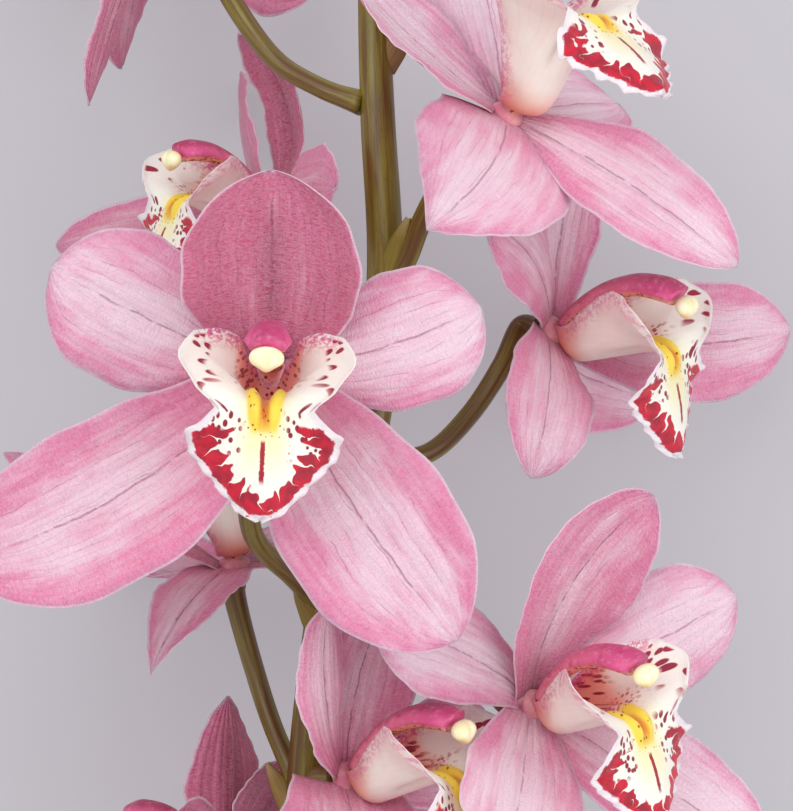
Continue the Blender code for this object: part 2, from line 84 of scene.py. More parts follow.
# arch: how many degrees the midrib bends forward from root to tip; sweep: its sideways turn;
# cup: half angle of the cross-section, positive when the edges come forward; widest: where it is;
# base: width at the root as a share of the greatest; blunt and point: how the outline closes to the tip
TOP_SEPAL = dict(arch=8, width=36, cup=22, cup_end=30, widest=0.52, base=0.42, blunt=2.4)
PETAL = dict(arch=-25, width=30, cup=-10, cup_end=-16, widest=0.62, base=0.32, blunt=2.4)
SIDE_SEPAL = dict(arch=-10, width=36, cup=12, cup_end=8, widest=0.52, base=0.4, blunt=2.3)
KIND = dict(dorsal=TOP_SEPAL, petal_r=PETAL, petal_l=PETAL, side_r=SIDE_SEPAL, side_l=SIDE_SEPAL)
PLAIN = dict(point=1.6, twist=0, sweep=0, ripple=0.6, waves=2.5, tone=0.0)

# tone: how much darker than the front flower's petals, up to 1, and paler below 0; the darker tones are
# partly the flowers' own colour and partly painted shade on far flowers and on those that face away, and a
# tone below 0 is painted light on a flower that lies in shade; tip: where a blade ends
BLOOMS = [
    dict(centre=(-30.4, 8.6, 112), facing=(0, -0.12, 1), up=(0.05, 1, 0), tone=0.0,
         dorsal=dict(tip=(-29.2, 55.7, 132), arch=-15, width=48, cup=38, cup_end=55, blunt=2.6, base=0.5,
                     tone=1.0),
         petal_r=dict(tip=(20.3, 23.7, 116), arch=-40, width=34, sweep=18, widest=0.64, blunt=2.6),
         petal_l=dict(tip=(-82.9, 33.5, 116), arch=-40, width=38, sweep=-8, widest=0.62, blunt=2.6),
         side_r=dict(tip=(14.4, -55.9, 126), arch=-20, width=43, sweep=11, widest=0.58, base=0.42,
                     tone=0.12),
         side_l=dict(tip=(-104, -37, 120), arch=-20, width=41, sweep=-32, widest=0.56, base=0.42, blunt=2.8,
                     tone=0.2)),
    dict(centre=(-31.5, 49.6, 50), facing=(-0.8, 0.2, 0.56), up=(0.2, 0.95, 0), tone=0.6, lip=0.85,
         dorsal=dict(tip=(-41, 96.5, 43), arch=105, width=17, tone=0.9),
         petal_r=dict(tip=(-15.2, 53.2, 92), arch=-30, width=28),
         petal_l=dict(tip=(-42.3, 85.8, 0.5), arch=-20, width=24, twist=-30),
         side_r=dict(tip=(-64, 0, 34), width=32),
         side_l=dict(tip=(-91, 42.5, 12), width=19)),
    dict(centre=(26.8, 71.4, 90), facing=(0.5, 0.7, 0.51), up=(-0.55, 0.65, -0.5), lip=1.08, tone=0.05,
         dorsal=dict(tip=(-12.7, 108, 92), arch=15, width=32),
         petal_r=dict(tip=(21, 114, 50), arch=-10, width=32),
         petal_l=dict(tip=(7.2, 42, 122), arch=-40, width=44, blunt=1.4, point=1.1, widest=0.4, base=0.8,
                      sweep=-38),
         side_r=dict(tip=(57, 78, 48), width=30),
         side_l=dict(tip=(83.3, 34, 100), arch=-20, width=28, twist=35, base=0.25, widest=0.5,
                     blunt=1.9)),
    dict(centre=(39, 19.5, 56), facing=(0.87, -0.04, 0.49), up=(-0.05, 0.98, 0.15), tone=0.14,
         dorsal=dict(tip=(48.7, 70, 46), arch=20, width=22, twist=-25),
         petal_r=dict(tip=(103, 20, 34), arch=-20, width=32, sweep=32),
         petal_l=dict(tip=(23, 44, 98), width=24, sweep=40),
         side_r=dict(tip=(70, 1.5, -2.5), arch=80, width=32),
         side_l=dict(tip=(33.5, -18, 84), arch=-40, width=28, twist=30, sweep=40, blunt=1.8)),
    # this flower lies in shade; its tone below 0 is painted light that makes its petals paler
    dict(centre=(33.5, -74.5, 76), facing=(0.73, 0.05, 0.68), up=(-0.22, 0.97, 0.1), tone=-0.12,
         dorsal=dict(tip=(64.3, -22.8, 84), arch=10, width=37, sweep=-62, tone=0.5, blunt=2.0),
         petal_r=dict(tip=(87, -48.8, 56), arch=-20, width=34),
         petal_l=dict(tip=(-4.5, -54.7, 104), arch=-30, width=27, sweep=25),
         side_r=dict(tip=(94, -114.7, 66), width=33),
         side_l=dict(tip=(25, -114.4, 104), arch=-20, width=36, twist=20)),
    dict(centre=(-13.4, -93, 74), facing=(0.8, 0.16, 0.58), up=(-0.2, 1, 0), tone=0.28,
         dorsal=dict(tip=(-4.7, -53.3, 66), arch=20, width=30, twist=-28),
         petal_r=dict(tip=(28.4, -87.5, 34), arch=-10),
         petal_l=dict(tip=(-17.3, -50.2, 96), arch=-15, width=21, sweep=-60),
         side_r=dict(tip=(11.4, -130, 30), width=32),
         side_l=dict(tip=(-15, -129, 104), arch=-50, width=44, twist=30, base=0.7)),
    dict(centre=(-43.5, -123.7, 48), facing=(-0.65, 0.15, -0.6), up=(0, 1, 0), tone=0.8,
         dorsal=dict(tip=(-43.4, -74.8, 50), arch=10, width=27, blunt=1.6, point=1.2),
         petal_r=dict(tip=(-59.2, -106.3, 78), arch=-20, width=28),
         petal_l=dict(tip=(-26.4, -93.5, 40), arch=-10, width=28),
         side_r=dict(tip=(-54.6, -165, 70), width=32),
         side_l=dict(tip=(-42, -168, 5), width=32)),
    dict(centre=(-42, -42, 48), facing=(-0.05, 0.95, 0.25), up=(-0.6, 0, -0.8), tone=0.3,
         dorsal=dict(tip=(-82.8, -31, 0.5), arch=55, width=34),
         petal_r=dict(tip=(-18, -31, 6), arch=-10),
         petal_l=dict(tip=(-100, -12, 60), arch=-10),
         side_r=dict(tip=(8.7, -40.3, 36), width=34),
         side_l=dict(tip=(-60.8, -66.2, 92), arch=-40, width=22, blunt=1.5, point=1.0, base=0.7,
                     widest=0.35)),
    dict(centre=(-59, 133, 58), facing=(-0.6, 0.2, -0.6), up=(0.1, 1, 0), tone=0.4,
         dorsal=dict(tip=(-58, 188, 50), arch=10, width=34),
         petal_r=dict(tip=(-106.8, 146.6, 78), arch=-10),
         petal_l=dict(tip=(-18.8, 112, 30), arch=-10, width=36),
         side_r=dict(tip=(-79.3, 77.2, 52), arch=-20, width=20, twist=-30),
         side_l=dict(tip=(-73, 89.3, 22), arch=-20, width=22, twist=-20)),
]

RACHIS = [(-6, 187, 62), (-4.7, 153, 66), (-5.2, 117, 70), (-5.7, 102, 71), (-4.7, 72, 72), (-2.9, 34, 72),
          (-6.2, -3.7, 70), (-15.6, -39, 66), (-20, -65, 62), (-23.4, -98, 56), (-26, -141, 44),
          (-28, -197, 24), (-29, -273, 4.86)]
RACHIS_RADII = [2.4, 2.9, 3.4, 4.0, 4.4, 4.6, 4.7, 4.8, 4.8, 4.9, 5.0, 5.0, 5.0]
# stalks of the flowers, from the main stalk to a point short of the flower; the last stretch is worked out
STALKS = [
    [(-18.9, -50.7, 64), (-26.2, -43, 76), (-35.6, -30.6, 94), (-35.1, -8, 104)],
    [(-4.2, 17.8, 71), (-12, 29, 63), (-20, 42, 54)],
    [(-2, 29.3, 72), (2.6, 36.5, 77), (6.6, 46.5, 82), (13, 57, 86)],
    [(-4.2, -14.3, 68), (8.5, -11.8, 65), (18.7, -2.4, 61), (27, 10, 57)],
    [(-16.5, -44, 65), (-8, -55, 56), (8, -62, 53), (22, -68, 60)],
    [(-25.4, -125, 50), (-26, -110, 58), (-22, -99, 67)],
    [(-26.5, -146, 42), (-31, -136, 46), (-36, -128, 51)],
    [(-24.7, -98.4, 56), (-32, -82.3, 50), (-37.4, -65.8, 46)],
    [(-8.7, 76, 72), (-19.3, 80.3, 68), (-30.9, 88, 62), (-41.3, 102.3, 59), (-49, 118, 61)],
]
STALK_PROFILE = ((0, 0.12, 0.5, 0.9, 1), (3.3, 2.5, 2.6, 3.1, 2.9))    # share of the way, and radius there
# buds: their stalk, the way they point, half their length and their radius
BUDS = [
    dict(stalk=[(-4.7, 140, 67), (4, 147, 70), (9, 155, 72)],
         way=(0.4, 0.9, 0.1), half=14.5, radius=7.6),
    dict(stalk=[(-5.2, 165, 65), (-13, 171, 66), (-18, 178, 66)],
         way=(-0.35, 0.93, -0.05), half=13, radius=6.6),
    dict(stalk=[(-6, 187, 62), (-6, 193, 61), (-5, 198, 60)],
         way=(0.15, 0.97, -0.15), half=11.5, radius=5.6),
]
# bracts hug the stem: foot, tip, width, and how brown they are
BRACTS = [
    [(-2, 88, 74), (5, 101, 76), 7.0, 0.9], [(-2, 31, 75), (3, 47, 81), 8.0, 0.2],
    [(-20, -56, 66), (-26, -44, 72), 6.0, 0.4], [(-26, -104, 58), (-33, -92, 54), 6.5, 0.6],
]
# sheaths of the lower stalk: from, to, radius
SHEATHS = [((-26.9, -167, 34.8), (-27.6, -186, 28), 6.6), ((-28.4, -219, 17.5), (-28.7, -240, 12), 6.8)]


def linear(red, green, blue):
    """Colour of a surface from its 0 to 255 screen values."""
    shares = (part / 255 for part in (red, green, blue))
    return tuple(part / 12.92 if part <= 0.04 else ((part + 0.055) / 1.055) ** 2.4 for part in shares)


def metres(name, description, default):
    return bpy.props.FloatProperty(name=name, description=description, default=default, unit="LENGTH")


def tally(name, description, default):
    return bpy.props.IntProperty(name=name, description=description, default=default)


def level(name, description, default, subtype="NONE"):
    return bpy.props.FloatProperty(name=name, description=description, default=default, subtype=subtype)


def tint(name, description, red, green, blue):
    """A colour to choose, with its first value given as it shows on a screen."""
    return bpy.props.FloatVectorProperty(name=name, description=description, subtype="COLOR",
                                         default=linear(red, green, blue))


class OrchidShape(bpy.types.PropertyGroup):
    """Sizes of the flower's parts."""
    blade: metres("Blade", "Thickness of a sepal or petal", 0.0008)
    lip_blade: metres("Lip blade", "Thickness of the lip", 0.0008)
    keel: metres("Keel", "Height of the lip's two yellow keels", 0.0022)
    rows: tally("Rows", "Steps along a petal", 44)
    columns: tally("Columns", "Steps across a petal", 20)
    lip_rows: tally("Lip rows", "Steps along a lip", 84)
    lip_columns: tally("Lip columns", "Steps across a lip", 52)


class OrchidColours(bpy.types.PropertyGroup):
    """Colours of the flower, stem and buds."""
    pale: tint("Pale", "Middle of a petal", 250, 212, 226)
    pink: tint("Pink", "Outer part of a petal", 235, 128, 170)
    deep: tint("Deep", "Foot of a petal and dark flowers", 172, 48, 94)
    vein: tint("Vein", "Veins of a petal", 150, 60, 100)
    rim: tint("Rim", "Thin pale edge", 250, 226, 238)
    crimson: tint("Crimson", "Spots of the lip", 196, 2, 46)
    cream: tint("Cream", "Ground of the lip", 250, 240, 228)
    keel: tint("Keel", "Ridges in the lip", 252, 212, 72)
    throat: tint("Throat", "Inside of the lip's foot", 242, 166, 150)
    outside: tint("Outside", "Outside of the lip", 250, 224, 214)
    coral: tint("Coral", "Foot of the lip outside", 214, 110, 78)
    column: tint("Column", "Back of the column", 216, 84, 138)
    cap: tint("Cap", "Anther cap", 250, 238, 184)
    olive: tint("Olive", "Green of the stem", 136, 126, 42)
    brown: tint("Brown", "Brown of the stem", 98, 62, 28)


class OrchidStage(bpy.types.PropertyGroup):
    """Floor, light and camera."""
    floor: tint("Floor", "Colour of the floor", 205, 202, 208)
    glow: level("Glow", "Light that comes through the floor", 0.46)
    key: level("Key", "Power of the large light", 14.0, "POWER")
    fill: level("Fill", "Power of the light from the right", 9.0, "POWER")
    sky: level("Sky", "Strength of the light from all round", 0.76)
    height: metres("Height", "Camera above the floor", 1.05)
    lens: level("Lens", "Focal length in millimetres", 172.4)


def unit(v):
    v = np.array(v, float)
    return v / np.linalg.norm(v)


def frame_of(facing, up):
    """Columns: the flower's right, its upper side and the way it faces."""
    f = unit(facing)
    u = np.array(up, float)
    u = unit(u - f * (u @ f))
    return np.stack([np.cross(u, f), u, f], axis=1)


def seat(local, bloom):
    """Points from a flower's own axes to their places on the spray."""
    return local @ frame_of(bloom["facing"], bloom["up"]).T + np.array(bloom["centre"], float)


def smooth(x, a, b):
    """0 up to a and 1 from b on, with a soft change between."""
    x = np.clip((x - a) / (b - a), 0, 1)
    return x * x * (3 - 2 * x)


def hill(x, middle, width):
    """1 at the middle, and close to 0 from two widths away."""
    return np.exp(-((x - middle) / width) ** 2)


def bent(angle):
    """The angle, kept off nought so that it can be divided by."""
    return np.where(np.abs(angle) < 0.001, 0.001, angle)


def sample(at, knots, points):
    """Points between the given ones, which stand at the knots."""
    return np.stack([np.interp(at, knots, points[:, i]) for i in range(3)], 1)


def follow(d, length):
    """Path of this length through evenly spaced directions."""
    steps = len(d) - 1
    return np.concatenate([[[0, 0, 0]], np.cumsum((d[1:] + d[:-1]) / 2, axis=0) / steps]) * length


def polar(v):
    """Azimuth, height angle and distance of a point."""
    r = float(np.linalg.norm(v))
    return math.degrees(math.atan2(v[1], v[0])), math.degrees(math.asin(v[2] / r)), r


def midrib(azimuth, lift, length, p):
    """Shares of the way, directions and points along the middle of a blade."""
    s = np.linspace(0, 1, RIB_STEPS + 1)
    theta = np.radians(lift + p["arch"] * s)
    a = np.radians(azimuth + p["sweep"] * s)
    d = np.stack([np.cos(theta) * np.cos(a), np.cos(theta) * np.sin(a), np.sin(theta)], 1)
    a0 = math.radians(azimuth)
    return s, d, follow(d, length) + ROOT * np.array([math.cos(a0), math.sin(a0), 0.25])


def aim(tip, p):
    """Azimuth, first lift and length with which the midrib ends at the tip."""
    azimuth, lift, length = want = polar(tip)
    for _ in range(12):
        got = polar(midrib(azimuth, lift, length, p)[2][-1])
        azimuth += (want[0] - got[0] + 180) % 360 - 180
        lift += want[1] - got[1]
        length *= want[2] / got[2]
    return azimuth, lift, length


def half_width(s, p):
    """Half of a blade's width: a sine from the root to the widest place, then a closing curve."""
    m = p["widest"]
    low = p["base"] + (1 - p["base"]) * np.sin(np.pi / 2 * np.clip(s / m, 0, 1)) ** 1.25
    x = np.clip((s - m) / (1 - m), 0, 1)
    high = np.clip(1 - x ** p["blunt"], 0, 1) ** (1 / p["point"])
    return p["width"] / 2 * np.where(s < m, low, high)


def tepal_points(bloom, kind, k, t, seed):
    """Places of a sepal's or petal's points: k runs from root to tip, t from edge to edge."""
    p = {**PLAIN, **KIND[kind], **bloom[kind]}
    turn = frame_of(bloom["facing"], bloom["up"])
    centre = np.array(bloom["centre"], float)
    azimuth, lift, length = aim(turn.T @ (np.array(p["tip"], float) - centre), p)
    s, d, path = midrib(azimuth, lift, length, p)
    si = 1 - (1 - k) ** 1.45
    pos = sample(si, s, path)
    along = sample(si, s, d)
    along /= np.linalg.norm(along, axis=1)[:, None]
    a = np.radians(azimuth + p["sweep"] * si)
    side = np.stack([-np.sin(a), np.cos(a), 0 * a], 1)
    face = np.cross(along, side)
    tw = math.radians(p["twist"])
    side, face = side * math.cos(tw) + face * math.sin(tw), face * math.cos(tw) - side * math.sin(tw)
    half = half_width(si, p)
    size = np.abs(t)
    half = half * (1 + 0.018 * np.sin(si * 23 + seed * 9 + t * 2) * size)
    phi = bent(np.radians(p["cup"] + (p["cup_end"] - p["cup"]) * si))
    across = half / phi * np.sin(phi * size) * np.sign(t)
    rise = half / phi * (1 - np.cos(phi * size))
    phase = 2 * np.pi * p["waves"] * si + np.where(t > 0, 1.3, 0)
    rise = rise + p["ripple"] * size ** 3 * np.sin(phase) * np.clip(si * 4, 0, 1)
    # shallow channel along the midrib, soft folds beside it and a fine wave in the edge
    rise = rise - CHANNEL * hill(t, 0, 0.07) * (1 - smooth(si, 0.75, 1)) * smooth(si, 0.02, 0.15)
    rise = rise + FOLD * np.cos(t * 15 + seed * 3) * smooth(si, 0.05, 0.3) * (1 - smooth(si, 0.7, 0.98))
    wave = np.sin(si * 61 + seed * 7 + np.sign(t)) * smooth(si, 0.1, 0.3)
    rise = rise + EDGE_WAVE * size ** 8 * wave
    grid = seat(pos + side * across[:, None] + face * rise[:, None], bloom)
    grid[:, 2] = np.maximum(grid[:, 2], REST)
    return grid, si, t * half, si * length


# along the lip: half its width, how far it wraps up in degrees, how far its side lobes lean out, and
# how far they reach forward
LIP_HALF = ([0, 0.07, 0.15, 0.26, 0.36, 0.44, 0.49, 0.525, 0.555, 0.59, 0.635, 0.685, 0.74, 0.805, 0.87,
             0.925, 0.963, 0.986, 1],
            [7.5, 11, 15.5, 20, 22, 21, 18, 12.5, 11.5, 14.5, 18.3, 18.8, 17.6, 14.6, 11.6,
             8.8, 6.6, 4.4, 1])
LIP_WRAP = ([0, 0.1, 0.32, 0.45, 0.515, 0.57, 0.69, 1], [75, 86, 86, 78, 50, 15, -20, -30])
LIP_OUT = ([0, 0.26, 0.36, 0.45, 0.5, 0.53, 0.56, 1], [0, 0, 3.5, 8.5, 9, 6, 0, 0])
LIP_REACH = ([0, 0.13, 0.27, 0.38, 0.45, 0.5, 0.54, 0.575, 1], [0, 2, 4, 6, 6.5, 5.5, 2.5, 0, 0])


def lip_points(bloom, k, t, keel):
    """Places of the lip's points: a gutter with tall side lobes, then the hanging middle lobe."""
    s = np.linspace(0, 1, LIP_STEPS + 1)
    bend = -10 + 88 * smooth(s, 0.42, 0.61) + 22 * smooth(s, 0.63, 1)
    down = np.radians(bend + 70 * (1 - smooth(s, 0, 0.15)))
    d = np.stack([0 * down, -np.sin(down), np.cos(down)], 1)
    path = follow(d, LIP_LENGTH) + np.array(LIP_START)
    # rows stand closer where the lip bends
    si = np.interp(k, np.linspace(0, 1, 9), [0, 0.08, 0.2, 0.35, 0.45, 0.535, 0.65, 0.83, 0.999])
    pos = sample(si, s, path)
    rear = np.radians(-10 + 88 * smooth(si, 0.45, 0.63) + 22 * smooth(si, 0.63, 1))
    lift = np.stack([0 * rear, np.cos(rear), np.sin(rear)], 1)
    half = np.interp(si, *LIP_HALF)
    wrap = bent(np.radians(np.interp(si, *LIP_WRAP)))
    size = np.abs(t)
    middle = smooth(si, 0.535, 0.65)
    frill = np.sin(size * 5 + si * 74) + 0.5 * np.sin(size * 9 - si * 131 + np.sign(t))
    half = half * (1 + 0.02 * frill * middle)
    turn = wrap * np.minimum(1, size / 0.5)
    outer = np.maximum(0, size - 0.5)
    across = half * 0.5 / wrap * np.sin(turn) + half * outer * np.cos(wrap)
    rise = half * 0.5 / wrap * (1 - np.cos(turn)) + half * outer * np.sin(wrap)
    across = across + np.interp(si, *LIP_OUT) * smooth(size, 0.35, 0.85)
    edge = np.maximum(size, smooth(si, 0.85, 1.0)) ** 5
    rise = rise + FRILL * frill * edge * middle
    ridge = np.interp(si, [0.22, 0.48, 0.61], [3.4, 3.1, 1.2])
    keels = keel * hill(size * half, ridge, 1.5) * smooth(si, 0.22, 0.37)
    rise = rise + keels * (1 - smooth(si, 0.55, 0.63))
    reach = np.interp(si, *LIP_REACH) * np.maximum(0, size - 0.3)
    grid = pos + np.array([1.0, 0, 0]) * (across * np.sign(t))[:, None] + lift * rise[:, None]
    grid = bloom.get("lip", 1) * (grid + np.array([0, 0, 1.0]) * reach[:, None])
    return seat(grid, bloom), si, half, grid[:, :2]


def through(points, count):
    """Smooth curve through the points, as this many places."""
    pts = np.array(points, float)
    last = len(pts) - 1
    ext = np.concatenate([[2 * pts[0] - pts[1]], pts, [2 * pts[-1] - pts[-2]]])
    out = []
    for x in np.linspace(0, last, count):
        i = min(int(x), last - 1)
        f = x - i
        a, b, c, d = ext[i:i + 4]
        out.append(0.5 * (2 * b + (c - a) * f + (2 * a - 5 * b + 4 * c - d) * f * f
                          + (3 * b - a - 3 * c + d) * f ** 3))
    return np.array(out)


def carried(path):
    """Directions of the path's two sides at each point, carried along it without turning."""
    step = np.gradient(path, axis=0)
    step /= np.linalg.norm(step, axis=1)[:, None]
    side = np.cross(step[0], (0, 0, 1.0))
    if np.linalg.norm(side) < 0.1:
        side = np.array([1.0, 0, 0])
    sides = []
    for along in step:
        side = unit(side - along * (side @ along))
        sides.append(side)
    sides = np.array(sides)
    return sides, np.cross(sides, step)


def note(piece, **notes):
    """One number for each vertex, or one for all of them, which the materials read by its name."""
    for name, values in notes.items():
        layer = piece.data.attributes.new(name, "FLOAT", "POINT")
        values = np.broadcast_to(values, len(piece.data.vertices))
        layer.data.foreach_set("value", values.astype(np.float32))


def sheet_mesh(rows, columns):
    """A flat sheet of quads with k from root to tip and t from edge to edge."""
    bm = bmesh.new()
    uv = bm.loops.layers.uv.new("petal")
    bmesh.ops.create_grid(bm, x_segments=columns, y_segments=rows, size=1.0)
    bmesh.ops.reverse_faces(bm, faces=bm.faces)
    for face in bm.faces:
        for loop in face.loops:
            loop[uv].uv = ((loop.vert.co.x + 1) / 2, (loop.vert.co.y + 1) / 2)
    return bm


def sheet_coordinates(bm):
    """k and t of each point of a flat sheet."""
    flat = np.array([vert.co[:2] for vert in bm.verts])
    return np.clip((flat[:, 1] + 1) / 2, 0, 1), np.clip(flat[:, 0], -1, 1)


def free_edge(points, k, t):
    """The points on a sheet's two sides and at its tip."""
    return points[(np.abs(t) > AT_EDGE) | (k > AT_EDGE)]


def ball_mesh(around, along):
    """A ball of rings with radius 1, and its points."""
    bm = bmesh.new()
    bmesh.ops.create_uvsphere(bm, u_segments=around, v_segments=along, radius=1.0)
    return bm, np.array([vert.co for vert in bm.verts])


def round_mesh(around, along):
    """A closed ball of rings, to be swept along a path: share of the way, angle, and which are poles."""
    bm, place = ball_mesh(around, along)
    ring = np.arccos(np.clip(-place[:, 2], -1, 1)) / math.pi * along
    turn = np.arctan2(place[:, 1], place[:, 0])
    share = np.clip((ring - 1) / (along - 2), 0, 1)
    pole = (ring < 0.5) | (ring > along - 0.5)
    return bm, share, turn, pole


def move(bm, points):
    """Put the mesh's points at these places, given in the tables' millimetres."""
    middle = np.array([ORIGIN[0], ORIGIN[1], 0])
    for vert, point in zip(bm.verts, (points - middle) * MM):
        vert.co = point


def finish_piece(name, bm, materials, closed=True):
    """An object at the origin, smooth, with its materials, riding on the spray."""
    if closed:
        bmesh.ops.recalc_face_normals(bm, faces=bm.faces)
    for face in bm.faces:
        face.smooth = True
    mesh = bpy.data.meshes.new(name)
    bm.to_mesh(mesh)
    bm.free()
    for mat in materials:
        mesh.materials.append(mat)
    piece = bpy.data.objects.new(name, mesh)
    bpy.context.scene.collection.objects.link(piece)
    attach(piece, "root")
    return piece


def thicken(piece, thickness, margin):
    """A wall about the sheet, thin at its edge, with the second material on its other side."""
    flesh = piece.vertex_groups.new(name="flesh")
    for index, share in enumerate(RIM_SHARE + (1 - RIM_SHARE) * smooth(margin, 0, TAPER)):
        flesh.add([index], float(share), "REPLACE")
    wall = piece.modifiers.new("blade", "SOLIDIFY")
    wall.vertex_group = "flesh"
    wall.thickness = thickness
    wall.offset = 0
    wall.material_offset = 1
    wall.material_offset_rim = 0
    wall.use_even_offset = False


class Signal:
    """A number that runs through a material and is worked with by the usual signs."""

    def __init__(self, graph, socket):
        self.graph = graph
        self.socket = socket

    def __add__(self, other):
        return self.graph.math("ADD", self, other)

    def __radd__(self, other):
        return self.graph.math("ADD", other, self)

    def __sub__(self, other):
        return self.graph.math("SUBTRACT", self, other)

    def __rsub__(self, other):
        return self.graph.math("SUBTRACT", other, self)

    def __mul__(self, other):
        return self.graph.math("MULTIPLY", self, other)

    def __abs__(self):
        return self.graph.math("ABSOLUTE", self)


class Graph:
    """Short words for building a material's nodes; colours go on one over the other, as coats."""

    def __init__(self, name, roughness):
        self.material = bpy.data.materials.new(name)
        self.material.use_nodes = True
        self.tree = self.material.node_tree
        self.shader = self.tree.nodes["Principled BSDF"]
        self.shader.inputs["Roughness"].default_value = roughness
        self.skin = None

    def node(self, kind, wires=(), **settings):
        made = self.tree.nodes.new("ShaderNode" + kind)
        for key, value in settings.items():
            setattr(made, key, value)
        for key, value in dict(wires).items():
            self.feed(made.inputs[key], value)
        return made

    def feed(self, socket, value):
        """Give the socket a number, a colour, or the result of another node."""
        if isinstance(value, Signal):
            value = value.socket
        if isinstance(value, bpy.types.NodeSocket):
            self.tree.links.new(value, socket)
            return
        if hasattr(value, "__len__"):
            value = tuple(value)
            if len(value) == 3 and len(socket.default_value) == 4:
                value += (1.0,)
        socket.default_value = value

    def number(self, kind, output, wires, **settings):
        """The result of a new node, as a number to work with."""
        return Signal(self, self.node(kind, wires, **settings).outputs[output])

    def math(self, operation, a, b=0.0):
        return self.number("Math", 0, {0: a, 1: b, 2: 0.0}, operation=operation)

    def ramp(self, value, low, high, start, end, course="LINEAR"):
        """Goes from start to end while the value goes from low to high."""
        wires = {"Value": value, "From Min": low, "From Max": high, "To Min": start, "To Max": end}
        return self.number("MapRange", 0, wires, interpolation_type=course)

    def step(self, value, low, high):
        """0 below low and 1 above high, smooth between; the other way round where low is above high."""
        if low > high:
            return self.ramp(value, high, low, 1.0, 0.0, "SMOOTHSTEP")
        return self.ramp(value, low, high, 0.0, 1.0, "SMOOTHSTEP")

    def lanes(self, value):
        """Up and down between 0 and a half, again and again as the value grows."""
        return self.math("PINGPONG", value, 0.5)

    def noise(self, place, scale, detail=2.0, roughness=0.5):
        wires = {"Vector": place, "Scale": scale, "Detail": detail, "Roughness": roughness}
        return self.number("TexNoise", "Fac", wires)

    def grain(self, x, y, z, detail=2.0, roughness=0.5):
        """Soft noise over a sheet that is laid flat."""
        return self.noise(self.place(x, y, z), 1.0, detail, roughness)

    def spots(self, place, scale=1.0, jitter=1.0):
        """Distance to the nearest of many scattered points."""
        wires = {"Vector": place, "Scale": scale, "Randomness": jitter}
        return self.number("TexVoronoi", "Distance", wires)

    def place(self, x, y, z):
        return self.node("CombineXYZ", {0: x, 1: y, 2: z}).outputs[0]

    def here(self):
        """Where the point is, in metres."""
        return self.node("TexCoord").outputs["Object"]

    def values(self, *names):
        """The numbers that the mesh carries under these names."""
        return [self.number("Attribute", "Fac", (), attribute_name=name) for name in names]

    def value(self, name):
        return self.values(name)[0]

    def bump(self, height, distance, strength):
        made = self.node("Bump", {"Height": height, "Distance": distance, "Strength": strength})
        self.feed(self.shader.inputs["Normal"], made.outputs[0])

    def mix(self, factor, *colours):
        """The second colour over the first; each is a name in the panel or 0 to 255 screen values."""
        made = self.node("Mix", data_type="RGBA", blend_type="MIX", clamp_factor=True)
        self.feed(made.inputs["Factor"], factor)
        for socket, colour in zip((made.inputs[6], made.inputs[7]), colours):
            if isinstance(colour, str):
                colour = getattr(bpy.context.scene.orchid_colours, colour)
            elif isinstance(colour, tuple):
                colour = linear(*colour)
            self.feed(socket, colour)
        return made.outputs[2]

    def ground(self, factor, a, b):
        """The first coat, between two colours."""
        self.skin = self.mix(factor, a, b)

    def coat(self, factor, colour):
        """One more colour over those before it."""
        self.skin = self.mix(factor, self.skin, colour)

    def set(self, **values):
        for key, value in values.items():
            self.feed(self.shader.inputs[key.replace("_", " ")], value)

    def soften(self, weight, depth=0.002):
        """Let light go a little way into the flesh."""
        self.set(Subsurface_Weight=weight, Subsurface_Radius=(1.0, 0.45, 0.5), Subsurface_Scale=depth)

    def done(self, **values):
        """Show the coats, set the surface's other values and hand over the material."""
        self.set(Base_Color=self.skin, **values)
        return self.material


